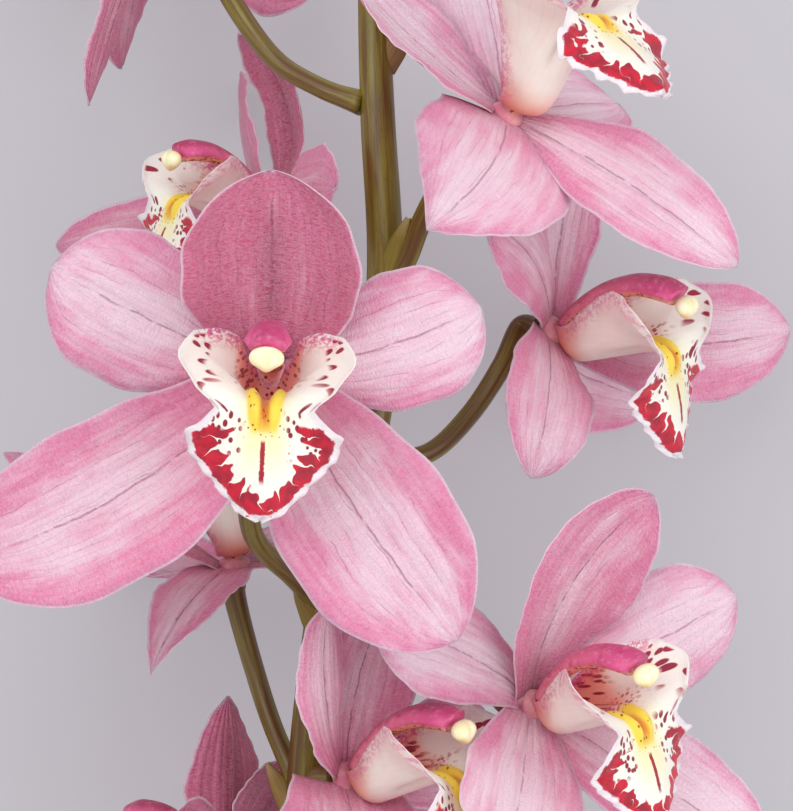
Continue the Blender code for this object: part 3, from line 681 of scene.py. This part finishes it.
def tepal_material(name, outer):
    """Veined petal flesh; the outer face is plainer, deeper in colour and ribbed."""
    g = Graph(name, 0.5)
    s, t, tone = g.values("along", "across", "tone")
    x, y, border = g.values("flat_x", "flat_y", "margin")
    shift = g.value("seed") * 17.0
    edge = abs(t)
    streak = g.grain(x * 0.42, y * 0.045, shift, 3.0, 0.6)
    cloud = g.grain(x * 0.09, y * 0.06, shift)
    # pink towards the edge and the foot, pale between, broken by long streaks
    amount = g.step(edge, 0.15, 1.0) * 0.62 + g.step(s, 0.5, 0.0) * 0.45
    amount += g.step(s, 0.78, 1.0) * 0.2
    amount += (streak - 0.5) * 1.1
    amount += (cloud - 0.5) * 1.3
    amount += 0.38 if outer else 0.1
    # from here on the flower's tone deepens the blade: partly its own deeper colour, partly painted shade
    # on far flowers and on those that face away; below 0 it is painted light that makes the blade paler
    amount += tone * 0.7
    g.ground(g.step(amount, 0.0, 1.0), "pale", "pink")
    deep = g.step(s, 0.22, 0.0) * 0.5 + tone * 0.62
    g.coat(deep * (0.5 + streak), "deep")
    blush = g.step(abs(x), 5.5, 0.5) * (g.step(s, 0.1, 0.3) * g.step(s, 0.9, 0.6))
    g.coat(blush * g.step(tone, 0.5, 0.8) * 0.75, (158, 46, 88))
    # veins run side by side and close up at both ends, with a darker one in the middle
    wobble = (g.grain(x * 0.12, y * 0.11, shift, 3.0) - 0.5) * 0.9
    lane = g.lanes(t * 5.0 + wobble + 0.25)
    strong = g.step(g.grain(x * 0.5, y * 0.09, shift + 3), 0.42, 0.66)
    vein = g.step(lane, 0.06, 0.0) * strong * g.step(edge, 0.9, 0.6)
    waver = (g.grain(0.0, y * 0.16, shift) - 0.5) * 1.6
    rib = g.step(abs(x + waver), 0.34, 0.1) * g.step(s, 0.93, 0.75)
    rib *= g.step(g.grain(0.0, y * 0.3, shift + 9), 0.3, 0.5)
    faint = g.lanes(t * 11.0 + wobble * 2.0)
    faint = g.step(faint, 0.12, 0.0) * g.step(edge, 0.97, 0.8)
    g.coat(faint * (0.16 + tone * 0.3), "deep")
    g.coat(vein * (0.5 + tone * 0.35), "vein")
    g.coat(rib * (0.5 + tone * 0.4), "vein")
    # fine wrinkles cross the blade, and a velvety grain lies over all
    crease = g.grain(x * 0.5, y * 1.5, shift, 3.0, 0.6)
    ridge = g.math("MAXIMUM", 1.0 - abs(crease - 0.5) * 7.0, 0.0)
    velvet = g.grain(x * 3.2, y * 3.2, shift, 2.0, 0.6)
    g.coat(ridge * 0.18, "rim")
    g.coat(g.step(velvet, 0.5, 0.3) * 0.12, "deep")
    g.coat(g.step(velvet, 0.5, 0.7) * 0.16, "rim")
    g.coat(g.step(border, 0.9, 0.2) * 0.55, "rim")
    fold = g.step(g.lanes(t * 5.0 + 0.25), 0.0, 0.4) * (1.4 if outer else 0.9)
    height = ridge * 0.8 + velvet * 0.5 + (fold - rib * 1.2)
    g.bump(height, 0.00028, 0.9)
    g.soften(0.3, 0.003)
    return g.done(Sheen_Weight=0.15, Sheen_Roughness=0.5, Specular_IOR_Level=0.3)


def lip_inner_material(name):
    """Cream lip with yellow keels, a speckled throat and a band of crimson blotches inside a pale rim."""
    g = Graph(name, 0.48)
    s, border, ray = g.values("along", "margin", "ray")
    x, y, face_x, face_y = g.values("flat_x", "flat_y", "face_x", "face_y")
    seed = g.value("seed") * 23.0
    wide = abs(x)
    here = g.place(x, y, seed)
    fine = g.noise(here, 0.9, 3.0, 0.6)
    middle = g.step(s, 0.53, 0.58)
    # ground: salmon throat, cream walls, warm centre
    g.ground(g.step(s, 0.5, 0.3), "cream", "throat")
    wall = g.step(wide, 7.0, 10.0) * g.step(s, 0.56, 0.5)
    g.coat(wall * 0.92, (242, 228, 220))
    warm = g.step(wide, 8.0, 2.5) * g.step(s, 0.4, 0.5) * g.step(s, 0.86, 0.66)
    g.coat(warm * 0.8, (252, 234, 176))
    # dark red speckles of the throat, crowded in the middle
    speck = g.spots(g.place(x * 0.95, y * 0.8, seed))
    throat = g.step(s, 0.5, 0.42) * g.step(wide, 11.5, 8.5) * g.step(speck, 0.46, 0.34)
    g.coat(throat * 0.88, (134, 26, 48))
    well = g.step(abs(face_x), 8.8, 7.0) * (g.step(face_y, -8.0, -5.5) * g.step(s, 0.46, 0.24))
    g.coat(well, "throat")
    speck = g.spots(g.place(face_x * 0.85, face_y * 0.85, seed))
    g.coat(well * g.step(speck, 0.46, 0.34), (134, 26, 48))
    # keels with an orange groove and red dots between them
    centre = g.ramp(s, 0.48, 0.61, 3.1, 1.2)
    keel = g.step(abs(wide - centre), 2.6, 1.3) * (g.step(s, 0.4, 0.46) * g.step(s, 0.66, 0.6))
    g.coat(keel, "keel")
    groove = g.step(wide, 1.9, 0.9) * (g.step(s, 0.42, 0.46) * g.step(s, 0.64, 0.56))
    g.coat(groove * 0.75, (206, 104, 26))
    dots = g.step(wide, 5.2, 4.2) * g.step(s, 0.42, 0.45) * g.step(s, 0.68, 0.62)
    dots *= g.step(g.spots(here, 0.8), 0.26, 0.15)
    g.coat(dots * 0.9, (136, 34, 26))
    # pink flush and speckles on the side lobes' upper edges
    flush = g.step(border, 5.5, 0.8) * g.step(s, 0.47, 0.38)
    broken = g.step(g.grain(x * 1.2, y * 1.2, seed, 3.0, 0.7), 0.4, 0.58)
    g.coat(flush * broken, (205, 84, 136))
    # dark ovals near the side lobes' front edges and in the corners of the middle lobe
    slant = g.place((y - wide * 0.35) * 0.5, wide * 0.32, seed)
    oval = g.step(g.spots(slant, 1.0, 0.8), 0.42, 0.34)
    front = g.step(g.value("front"), 8.0, 6.5) * g.step(wide, 8.5, 11.0)
    front *= g.step(border, 0.7, 1.3)
    front *= g.step(s, 0.55, 0.52)
    g.coat(front * oval * g.step(s, 0.36, 0.4), (140, 14, 52))
    corner = g.step(s, 0.52, 0.55) * g.step(s, 0.76, 0.7) * g.step(wide, 4.2, 6.0)
    dot = g.step(g.spots(g.place(x * 0.62, y * 0.5, seed), 1.0, 0.9), 0.4, 0.31)
    g.coat(corner * dot, (134, 14, 48))
    # crimson band of the middle lobe: rounded blotches that point inwards, with pale wedges between
    soft = g.grain(x * 0.3, y * 0.3, seed, 1.0) - 0.5
    drift = g.grain(ray * 1.6, 0.0, seed, 1.0)
    finger = abs(g.math("SINE", (ray + soft * 0.5) * 9.5 + drift * 5.0))
    reach = g.grain(ray * 3.0, 0.0, seed + 5, 1.0)
    depth = g.math("POWER", finger, 0.4) * (1.6 + reach * 6.0)
    depth += 2.4 + soft * 2.5
    band = g.step(depth - border, -0.2, 0.2) * g.step(s + soft * 0.08, 0.6, 0.615)
    blot = g.grain(x * 0.35, y * 0.35, seed)
    g.coat(band, g.mix(g.step(blot, 0.35, 0.65), "crimson", (150, 8, 42)))
    stripe = g.step(abs(x + (fine - 0.5) * 0.8), 0.68, 0.4)
    stripe *= g.step(s, 0.655, 0.675) * g.step(s, 0.85, 0.82)
    g.coat(stripe, (156, 18, 44))
    # pale, faintly pink rim
    rim = g.step(border + (fine - 0.5) * 1.4, 2.0, 1.5) * middle
    g.coat(rim, (248, 230, 236))
    g.bump(fine * 0.6 + g.noise(here, 4.0, 2.0), 0.0002, 0.8)
    g.soften(0.5, 0.004)
    return g.done(Sheen_Weight=0.15, Specular_IOR_Level=0.4)


def lip_outer_material(name):
    """Smooth beige-pink outside of the lip, coral at its foot and freckled near the upper edges."""
    g = Graph(name, 0.42)
    s, border = g.values("along", "margin")
    x, y = g.values("flat_x", "flat_y")
    seed = g.value("seed") * 23.0
    cloud = g.grain(x * 0.16, y * 0.12, seed)
    g.ground(g.step(cloud, 0.35, 0.75), "outside", (250, 234, 222))
    g.coat(g.step(s, 0.22, 0.02) * 0.85, "coral")
    broken = g.step(g.noise(g.place(x, y, seed), 0.8, 3.0, 0.7), 0.4, 0.62)
    flush = g.step(border, 6.0, 0.5) * (0.14 + broken * 0.6)
    g.coat(flush, (205, 92, 140))
    g.coat(g.step(s, 0.54, 0.64) * 0.5, (246, 222, 228))
    line = g.lanes(x * 0.55 + cloud * 1.2)
    g.coat(g.step(line, 0.1, 0.0) * 0.08, (206, 132, 140))
    g.bump(g.noise(g.place(x, y, seed), 0.6, 2.0), 0.00015, 0.5)
    g.soften(0.5, 0.004)
    return g.done(Specular_IOR_Level=0.45)


def column_material(name):
    """Hot pink back with a darker ridge, pale speckled underside."""
    g = Graph(name, 0.4)
    s, belly, tone = g.values("along", "belly", "tone")
    here = g.here()
    grain = g.noise(here, 700.0, 3.0)
    g.ground(g.step(s, 0.2, 0.85), (226, 128, 150), "column")
    # the darker ridge grows with the flower's tone, which is partly the column's own colour and partly
    # painted shade
    g.coat(g.step(belly, -0.35, -1.0) * (0.45 + tone * 0.5), (158, 28, 76))
    under = g.step(belly, 0.1, 0.5)
    g.coat(under, (240, 160, 136))
    speck = g.step(g.spots(here, 850.0), 0.46, 0.34)
    g.coat(under * speck * 0.85, (132, 24, 48))
    g.coat(g.step(grain, 0.5, 0.7) * 0.2, (244, 190, 210))
    blotch = g.step(g.noise(here, 260.0, 4.0, 0.7), 0.5, 0.66)
    g.coat(blotch * g.step(belly, 0.2, -0.2) * 0.5, (166, 24, 78))
    g.bump(grain + blotch * -0.4, 0.0002, 0.8)
    g.soften(0.2)
    return g.done(Specular_IOR_Level=0.45, Coat_Weight=0.05)


def centre_material(name):
    """Where the sepals and petals meet: speckled salmon in front, greenish behind."""
    g = Graph(name, 0.45)
    here = g.here()
    cloud = g.noise(here, 260.0, 3.0)
    inside = g.step(g.value("back"), -0.66, -0.78)
    g.ground(g.step(cloud, 0.35, 0.7), (196, 106, 128), (216, 150, 152))
    g.coat(inside, "throat")
    speck = g.step(g.spots(here, 850.0), 0.44, 0.32)
    g.coat(inside * speck, (150, 36, 58))
    g.coat(g.step(g.value("back"), 0.25, 0.8) * 0.8, "olive")
    g.bump(cloud, 0.0003, 0.6)
    g.soften(0.15)
    return g.done()


def cap_material(name):
    """Pale yellow cap, a little browner at its lower edge."""
    g = Graph(name, 0.38)
    here = g.here()
    cloud = g.noise(here, 420.0, 2.0)
    g.ground(g.step(cloud, 0.35, 0.7), "cap", (252, 246, 214))
    g.coat(g.value("foot") * 0.75, (232, 176, 120))
    g.bump(g.noise(here, 1500.0, 2.0), 0.0001, 0.5)
    g.soften(0.3)
    return g.done(Specular_IOR_Level=0.5)


def stem_material(name):
    """Glossy green and brown skin with streaks that run along it."""
    g = Graph(name, 0.33)
    s, ax, ay = g.values("length", "around_x", "around_y")
    brownness, cut = g.values("tone", "cut")
    streak = g.grain(ax * 3.2, ay * 3.2, s * 0.035, 4.0, 0.6)
    patch = g.grain(ax * 0.7, ay * 0.7, s * 0.03)
    amount = (streak - 0.5) * 1.9 + (patch - 0.5) * 1.6 + brownness
    g.ground(g.step(amount, 0.0, 1.0), "olive", "brown")
    pale = g.step(g.grain(ax * 5, ay * 5, s * 0.05, 3.0), 0.56, 0.75)
    g.coat(pale * 0.3, (176, 160, 92))
    grain = g.grain(ax * 14, ay * 14, s * 0.9)
    g.coat(g.step(grain, 0.55, 0.75) * 0.3, (60, 46, 22))
    g.coat(cut, (214, 208, 160))
    g.bump(streak + grain * 0.4, 0.0003, 0.6)
    g.soften(0.06)
    return g.done(Specular_IOR_Level=0.4, Coat_Weight=0.15, Coat_Roughness=0.2)


def bract_material(name):
    """Dry brown fibres over green, paler at the tip."""
    g = Graph(name, 0.6)
    s, t, tone = g.values("along", "across", "tone")
    fibre = g.grain(t * 9, s * 2, tone * 9, 4.0, 0.7)
    g.ground(tone, "olive", (150, 112, 74))
    g.coat(g.step(fibre, 0.45, 0.7) * 0.55, (96, 66, 40))
    g.coat(g.step(s, 0.7, 1.0) * 0.5, (188, 160, 120))
    g.bump(fibre, 0.0003, 0.8)
    return g.done(Specular_IOR_Level=0.3)


def bud_material(name):
    """Green-yellow bud flushed pink, with faint long stripes and darker seams."""
    g = Graph(name, 0.42)
    s, ax, ay, seam = g.values("along", "around_x", "around_y", "seam")
    streak = g.grain(ax * 5, ay * 5, s * 1.6, 3.0)
    g.ground(g.step(s, 0.1, 0.75), (170, 160, 84), (214, 142, 150))
    g.coat(g.step(streak, 0.42, 0.66) * 0.5, (196, 96, 126))
    g.coat(seam * 0.6, "deep")
    g.bump(streak + g.grain(ax * 30, ay * 30, s * 60), 0.0002, 0.6)
    g.soften(0.2)
    return g.done(Specular_IOR_Level=0.4)


def floor_material(name):
    """Pale table that is lit a little from below, so that shadows on it stay faint."""
    stage = bpy.context.scene.orchid_stage
    g = Graph(name, 0.85)
    cloud = g.noise(g.here(), 2.0, 2.0)
    g.ground(cloud, *([part * share for part in stage.floor] for share in FLOOR_SHARES))
    return g.done(Specular_IOR_Level=0.1, Emission_Color=tuple(stage.floor), Emission_Strength=stage.glow)


def nearest(points, border):
    """Distance of each point to the nearest of the border's points."""
    return np.array([np.sqrt(((border - p) ** 2).sum(axis=1).min()) for p in points])


def joined(name, parts, materials, closed=True):
    """One piece from several meshes, with their lists of numbers one after the other."""
    whole = bmesh.new()
    mesh = bpy.data.meshes.new("part")
    for bm, _ in parts:
        bm.to_mesh(mesh)
        bm.free()
        whole.from_mesh(mesh)
    bpy.data.meshes.remove(mesh)
    piece = finish_piece(name, whole, materials, closed)
    data = {key: np.concatenate([numbers[key] for _, numbers in parts]) for key in parts[0][1]}
    note(piece, **data)
    return piece, data


def build_tepals(number, bloom, front, back):
    """All sepals and petals of one flower."""
    shape = bpy.context.scene.orchid_shape
    parts = []
    for place, kind in enumerate(KIND):
        bm = sheet_mesh(shape.rows, shape.columns)
        k, t = sheet_coordinates(bm)
        seed = (number * 0.37 + place * 0.21) % 1.0
        points, si, flat_x, flat_y = tepal_points(bloom, kind, k, t, seed)
        move(bm, points)
        # the tone carries painted shade and painted light for the whole flower as well as its deeper colour
        tone = min(1.0, bloom["tone"] + bloom[kind].get("tone", PLAIN["tone"]))
        numbers = dict(along=si, across=t, flat_x=flat_x, flat_y=flat_y)
        numbers.update(seed=np.full(len(k), seed), tone=np.full(len(k), tone))
        numbers["margin"] = nearest(points, free_edge(points, k, t))
        parts.append((bm, numbers))
    piece, data = joined(f"bloom_{number}_tepals_skin", parts, [front, back], closed=False)
    thicken(piece, shape.blade, data["margin"])
    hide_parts(f"bloom_{number}_tepals")


def build_hub(number, bloom, mat):
    """Small three-cornered body in the middle, which the sepals and petals grow from."""
    bm, local = ball_mesh(24, 14)
    swell = 1 + 0.06 * np.cos(3 * np.arctan2(local[:, 1], local[:, 0]))
    local = local * np.array(HUB_RADII) * np.stack([swell, swell, np.ones(len(local))], 1) * HUB_SHARE
    move(bm, seat(local + np.array(HUB_CENTRE), bloom))
    piece = finish_piece(f"bloom_{number}_centre", bm, [mat])
    note(piece, back=-local[:, 2] / HUB_RADII[2])


def build_lip(number, bloom, inner, outer):
    """Lip with its upright side lobes, keels and hanging frilled middle lobe."""
    shape = bpy.context.scene.orchid_shape
    bm = sheet_mesh(shape.lip_rows, shape.lip_columns)
    k, t = sheet_coordinates(bm)
    points, si, half, seen = lip_points(bloom, k, t, shape.keel / MM)
    margin = nearest(points, free_edge(points, k, t))
    front = points[(np.abs(t) > AT_EDGE) & (si > 0.45) & (si < 0.545)]
    move(bm, points)
    piece = finish_piece(f"bloom_{number}_lip_skin", bm, [inner, outer], closed=False)
    flat_x, flat_y = t * half, si * LIP_LENGTH
    note(piece, along=si, flat_x=flat_x, flat_y=flat_y, ray=np.arctan2(flat_x, flat_y - FAN * LIP_LENGTH),
         face_x=seen[:, 0], face_y=seen[:, 1], margin=margin, front=nearest(points, front),
         seed=number * 0.1)
    thicken(piece, shape.lip_blade, margin)
    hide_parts(f"bloom_{number}_lip")


def build_column(number, bloom, mat):
    """Arched column with a flat belly, small wings and a hood over the cap."""
    path = through(COLUMN_PATH, CURVE_STEPS)
    bm, share, angle, pole = round_mesh(28, 34)
    knots = np.linspace(0, 1, CURVE_STEPS)
    mid = sample(share, knots, path)
    step = sample(share, knots, np.gradient(path, axis=0))
    step /= np.linalg.norm(step, axis=1)[:, None]
    back = np.cross(step, np.array([1.0, 0, 0]))
    back *= np.sign(back[:, 1])[:, None]
    radius = np.interp(share, np.linspace(0, 1, len(COLUMN_RADII)), COLUMN_RADII)
    radius = np.where(pole, 0, radius)
    cos, sin = np.cos(angle), np.sin(angle)
    wing = 1 + 0.16 * hill(share, 0.8, 0.14) * hill(sin, 0, 0.3)
    belly = np.where(sin < 0, 0.5, 0.8)
    keel = 1 + 0.08 * hill(cos, 0, 0.2) * (sin > 0)
    local = mid + np.array([1.0, 0, 0]) * (radius * wing * cos)[:, None]
    local = local + back * (radius * belly * keel * sin)[:, None]
    hood = smooth(share, 0.82, 1) * (sin > 0) * np.where(pole, 0, 1)
    local = local + np.array([0, -0.5, 1.3]) * (hood * sin)[:, None]
    move(bm, seat(local * bloom.get("lip", 1), bloom))
    piece = finish_piece(f"bloom_{number}_column_skin", bm, [mat])
    note(piece, along=share, belly=-sin, tone=bloom["tone"])
    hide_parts(f"bloom_{number}_column")


def build_cap(number, bloom, mat):
    """Anther cap: two low lobes with a groove between them and a small beak."""
    bm, ball = ball_mesh(32, 20)
    x, y, z = ball.T
    local = ball * np.array(CAP_RADII)
    local[:, 2] -= 0.5 * hill(x, 0, 0.2) * smooth(z, 0, 0.8)
    local[:, 1] -= 0.9 * hill(x, 0, 0.35) * smooth(-y, 0.4, 1)
    local[:, 0] *= 1 + 0.08 * smooth(-y, 0, 1)
    local = (local + np.array(CAP_CENTRE)) * bloom.get("lip", 1)
    move(bm, seat(local, bloom))
    piece = finish_piece(f"bloom_{number}_cap_skin", bm, [mat])
    note(piece, foot=smooth(-y, 0.55, 1))
    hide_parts(f"bloom_{number}_anther")


def tube(path, radii, around, tone, twist=0.0, ribs=0.0, cut=False):
    """A closed swept body and the numbers that the stem's material reads."""
    count = len(path)
    bm, share, angle, pole = round_mesh(around, count + 1)
    side, other = carried(path)
    at = np.linspace(0, 1, count)
    mid, side, other = (sample(share, at, line) for line in (path, side, other))
    radius = np.interp(share, np.linspace(0, 1, len(radii)), radii)
    radius = np.where(pole, 0, radius * (1 + ribs * np.cos(3 * angle + twist * share)))
    points = mid + side * (radius * np.cos(angle))[:, None] + other * (radius * np.sin(angle))[:, None]
    points[:, 2] = np.maximum(points[:, 2], 0)
    length = np.concatenate([[0], np.cumsum(np.linalg.norm(np.diff(path, axis=0), axis=1))])
    move(bm, points)
    data = dict(length=np.interp(share, at, length), around_x=np.cos(angle), around_y=np.sin(angle),
                tone=np.interp(share, [0, 1], tone), cut=(pole & (share > 0.5)) * float(cut))
    return bm, data


def build_stem(mat):
    """Main stalk, flower stalks, bud stalks and sheaths in one piece."""
    tubes = [tube(through(RACHIS, 150), RACHIS_RADII, 28, (0.35, 0.75), cut=True)]
    for bloom, points in zip(BLOOMS, STALKS):
        f = unit(bloom["facing"])
        centre = np.array(bloom["centre"], float)
        route = points + [tuple(centre + f * (STALK_END - 5)), tuple(centre + f * STALK_END)]
        radii = np.interp(np.linspace(0, 1, 12), *STALK_PROFILE)
        tubes.append(tube(through(route, 48), radii, 20, (0.45, 0.95), twist=5, ribs=0.045))
    for bud in BUDS:
        way = unit(bud["way"])
        path = through(bud["stalk"] + [tuple(np.array(bud["stalk"][-1]) + way * 3)], 24)
        tubes.append(tube(path, (2.4, 1.9, 2.0, 2.3), 16, (0.3, 0.5)))
    for low, high, radius in SHEATHS:
        path = through([low, high], 12)
        radii = [radius - less for less in (0, 0, 0.3, 0.8, 1.4)]
        tubes.append(tube(path, radii, 28, (0.8, 0.8)))
    piece, _ = joined("stem_skin", tubes, [mat])
    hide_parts("stem")


def build_bract(number, bract, mat):
    """Thin pointed leaf at the foot of a flower stalk."""
    foot, tip, width, brown = bract
    foot, tip = np.array(foot, float), np.array(tip, float)
    way = tip - foot
    side = unit(np.cross(way, (0, 0, 1)))
    lift = unit(np.cross(side, way))
    bm = sheet_mesh(18, 10)
    k, t = sheet_coordinates(bm)
    half = width / 2 * np.interp(k, (0, 0.3, 0.7, 1), (0.9, 1.0, 0.62, 0.06))
    drop = -width * 0.28 * t ** 2 * (1 - 0.6 * k) + 1.4 * k ** 2
    points = foot - way * 0.25 + way * 1.25 * k[:, None]
    points = points + side * (half * t)[:, None] + lift * drop[:, None]
    move(bm, points)
    piece = finish_piece(f"bract_{number}", bm, [mat], closed=False)
    note(piece, along=k, across=t, tone=brown)
    wall = piece.modifiers.new("blade", "SOLIDIFY")
    wall.thickness = BRACT_BLADE * MM


def build_bud(number, bud, mat):
    """Closed bud: three sepals pressed together, so the body is faintly three-sided with seams."""
    way = unit(bud["way"])
    centre = np.array(bud["stalk"][-1]) + way * (3.35 + bud["half"])
    side = unit(np.cross(way, (0, 0, 1)))
    turn = np.stack([side, np.cross(way, side), way], axis=1)
    bm, ball = ball_mesh(48, 32)
    angle = np.arctan2(ball[:, 1], ball[:, 0])
    along = (ball[:, 2] + 1) / 2
    seam = hill(np.cos(1.5 * (angle + 0.5 * along)), 0, 0.1)
    swell = 1 + 0.05 * np.cos(3 * angle + 1.5 * along) - 0.07 * seam * smooth(along, 0.1, 0.3)
    narrow = 1 - 0.12 * smooth(along, 0.5, 1)
    local = ball * np.array([bud["radius"], bud["radius"] * 0.85, bud["half"]])
    local[:, :2] *= (swell * narrow)[:, None]
    move(bm, local @ turn.T + centre)
    piece = finish_piece(f"bud_{number}_skin", bm, [mat])
    note(piece, along=along, around_x=np.cos(angle), around_y=np.sin(angle), seam=seam)
    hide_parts(f"bud_{number}")


class ORCHID_OT_tepals(bpy.types.Operator):
    """Build the sepals and petals of each flower"""
    bl_idname = "orchid.tepals"
    bl_label = "Sepals and petals"

    def execute(self, context):
        front, back = tepal_material("petal_face", False), tepal_material("petal_back", True)
        centre = centre_material("flower_centre")
        for number, bloom in enumerate(BLOOMS, 1):
            build_tepals(number, bloom, front, back)
            build_hub(number, bloom, centre)
        return {"FINISHED"}


class ORCHID_OT_lips(bpy.types.Operator):
    """Build the spotted lip of each flower"""
    bl_idname = "orchid.lips"
    bl_label = "Lips"

    def execute(self, context):
        inner, outer = lip_inner_material("lip_inside"), lip_outer_material("lip_outside")
        for number, bloom in enumerate(BLOOMS, 1):
            build_lip(number, bloom, inner, outer)
        return {"FINISHED"}


class ORCHID_OT_columns(bpy.types.Operator):
    """Build the column and anther cap of each flower"""
    bl_idname = "orchid.columns"
    bl_label = "Columns and caps"

    def execute(self, context):
        skin, cap = column_material("column_skin"), cap_material("anther_cap")
        for number, bloom in enumerate(BLOOMS, 1):
            build_column(number, bloom, skin)
            build_cap(number, bloom, cap)
        return {"FINISHED"}


class ORCHID_OT_stem(bpy.types.Operator):
    """Build the stem with its stalks, sheaths and bracts"""
    bl_idname = "orchid.stem"
    bl_label = "Stem"

    def execute(self, context):
        build_stem(stem_material("stem_skin"))
        bract = bract_material("bract_skin")
        for number, values in enumerate(BRACTS, 1):
            build_bract(number, values, bract)
        return {"FINISHED"}


class ORCHID_OT_buds(bpy.types.Operator):
    """Build the closed buds at the tip"""
    bl_idname = "orchid.buds"
    bl_label = "Buds"

    def execute(self, context):
        skin = bud_material("bud_skin")
        for number, bud in enumerate(BUDS, 1):
            build_bud(number, bud, skin)
        return {"FINISHED"}


class ORCHID_OT_stage(bpy.types.Operator):
    """Build the floor, the lights and the camera"""
    bl_idname = "orchid.stage"
    bl_label = "Stage"

    def execute(self, context):
        stage = context.scene.orchid_stage
        bm = bmesh.new()
        bmesh.ops.create_grid(bm, x_segments=4, y_segments=4, size=9.0)
        mesh = bpy.data.meshes.new("floor")
        bm.to_mesh(mesh)
        bm.free()
        mesh.materials.append(floor_material("floor"))
        floor = bpy.data.objects.new("floor", mesh)
        context.scene.collection.objects.link(floor)
        add_light("key_light", (-0.55, 0.75, 1.5), 1.5, stage.key)
        add_light("fill_light", (1.1, -0.2, 1.0), 1.2, stage.fill)
        world = bpy.data.worlds.new("studio")
        world.use_nodes = True
        sky = world.node_tree.nodes["Background"]
        sky.inputs["Color"].default_value = (0.97, 0.98, 1.0, 1)
        sky.inputs["Strength"].default_value = stage.sky
        context.scene.world = world
        camera = bpy.data.objects.new("camera", bpy.data.cameras.new("camera"))
        camera.data.lens = stage.lens
        camera.data.sensor_width = 36
        camera.location = (-ORIGIN[0] * MM, -ORIGIN[1] * MM, stage.height)
        context.scene.collection.objects.link(camera)
        context.scene.camera = camera
        context.scene.view_settings.view_transform = "Standard"
        return {"FINISHED"}


def add_light(name, place, size, power):
    """A square soft light that faces the spray."""
    lamp = bpy.data.lights.new(name, "AREA")
    lamp.size = size
    lamp.energy = power
    light = bpy.data.objects.new(name, lamp)
    light.location = place
    way = np.array([0, 0, 0.06]) - np.array(place)
    tilt = math.atan2(math.hypot(way[0], way[1]), -way[2])
    light.rotation_euler = (tilt, 0, math.atan2(way[1], way[0]) - math.pi / 2)
    bpy.context.scene.collection.objects.link(light)


STEPS = (ORCHID_OT_stage, ORCHID_OT_tepals, ORCHID_OT_lips, ORCHID_OT_columns, ORCHID_OT_stem,
         ORCHID_OT_buds)


class ORCHID_PT_spray(bpy.types.Panel):
    """Sizes, colours and steps of the spray"""
    bl_idname = "ORCHID_PT_spray"
    bl_label = "Cymbidium Spray"
    bl_space_type = "VIEW_3D"
    bl_region_type = "UI"
    bl_category = "Orchid"

    def draw(self, context):
        for group in (getattr(context.scene, name) for name in GROUPS):
            box = self.layout.box()
            for name in group.__annotations__:
                box.prop(group, name)
        for step in STEPS:
            self.layout.operator(step.bl_idname)


GROUPS = dict(orchid_shape=OrchidShape, orchid_colours=OrchidColours, orchid_stage=OrchidStage)


def register():
    for name, group in GROUPS.items():
        bpy.utils.register_class(group)
        setattr(bpy.types.Scene, name, bpy.props.PointerProperty(type=group))
    for step in (*STEPS, ORCHID_PT_spray):
        bpy.utils.register_class(step)


def unregister():
    for step in reversed((*STEPS, ORCHID_PT_spray)):
        bpy.utils.unregister_class(step)
    for name, group in GROUPS.items():
        delattr(bpy.types.Scene, name)
        bpy.utils.unregister_class(group)


def main():
    register()
    bpy.ops.orchid.stage()
    bpy.ops.orchid.tepals()
    bpy.ops.orchid.lips()
    bpy.ops.orchid.columns()
    bpy.ops.orchid.stem()
    bpy.ops.orchid.buds()


if __name__ == "__main__":
    main()
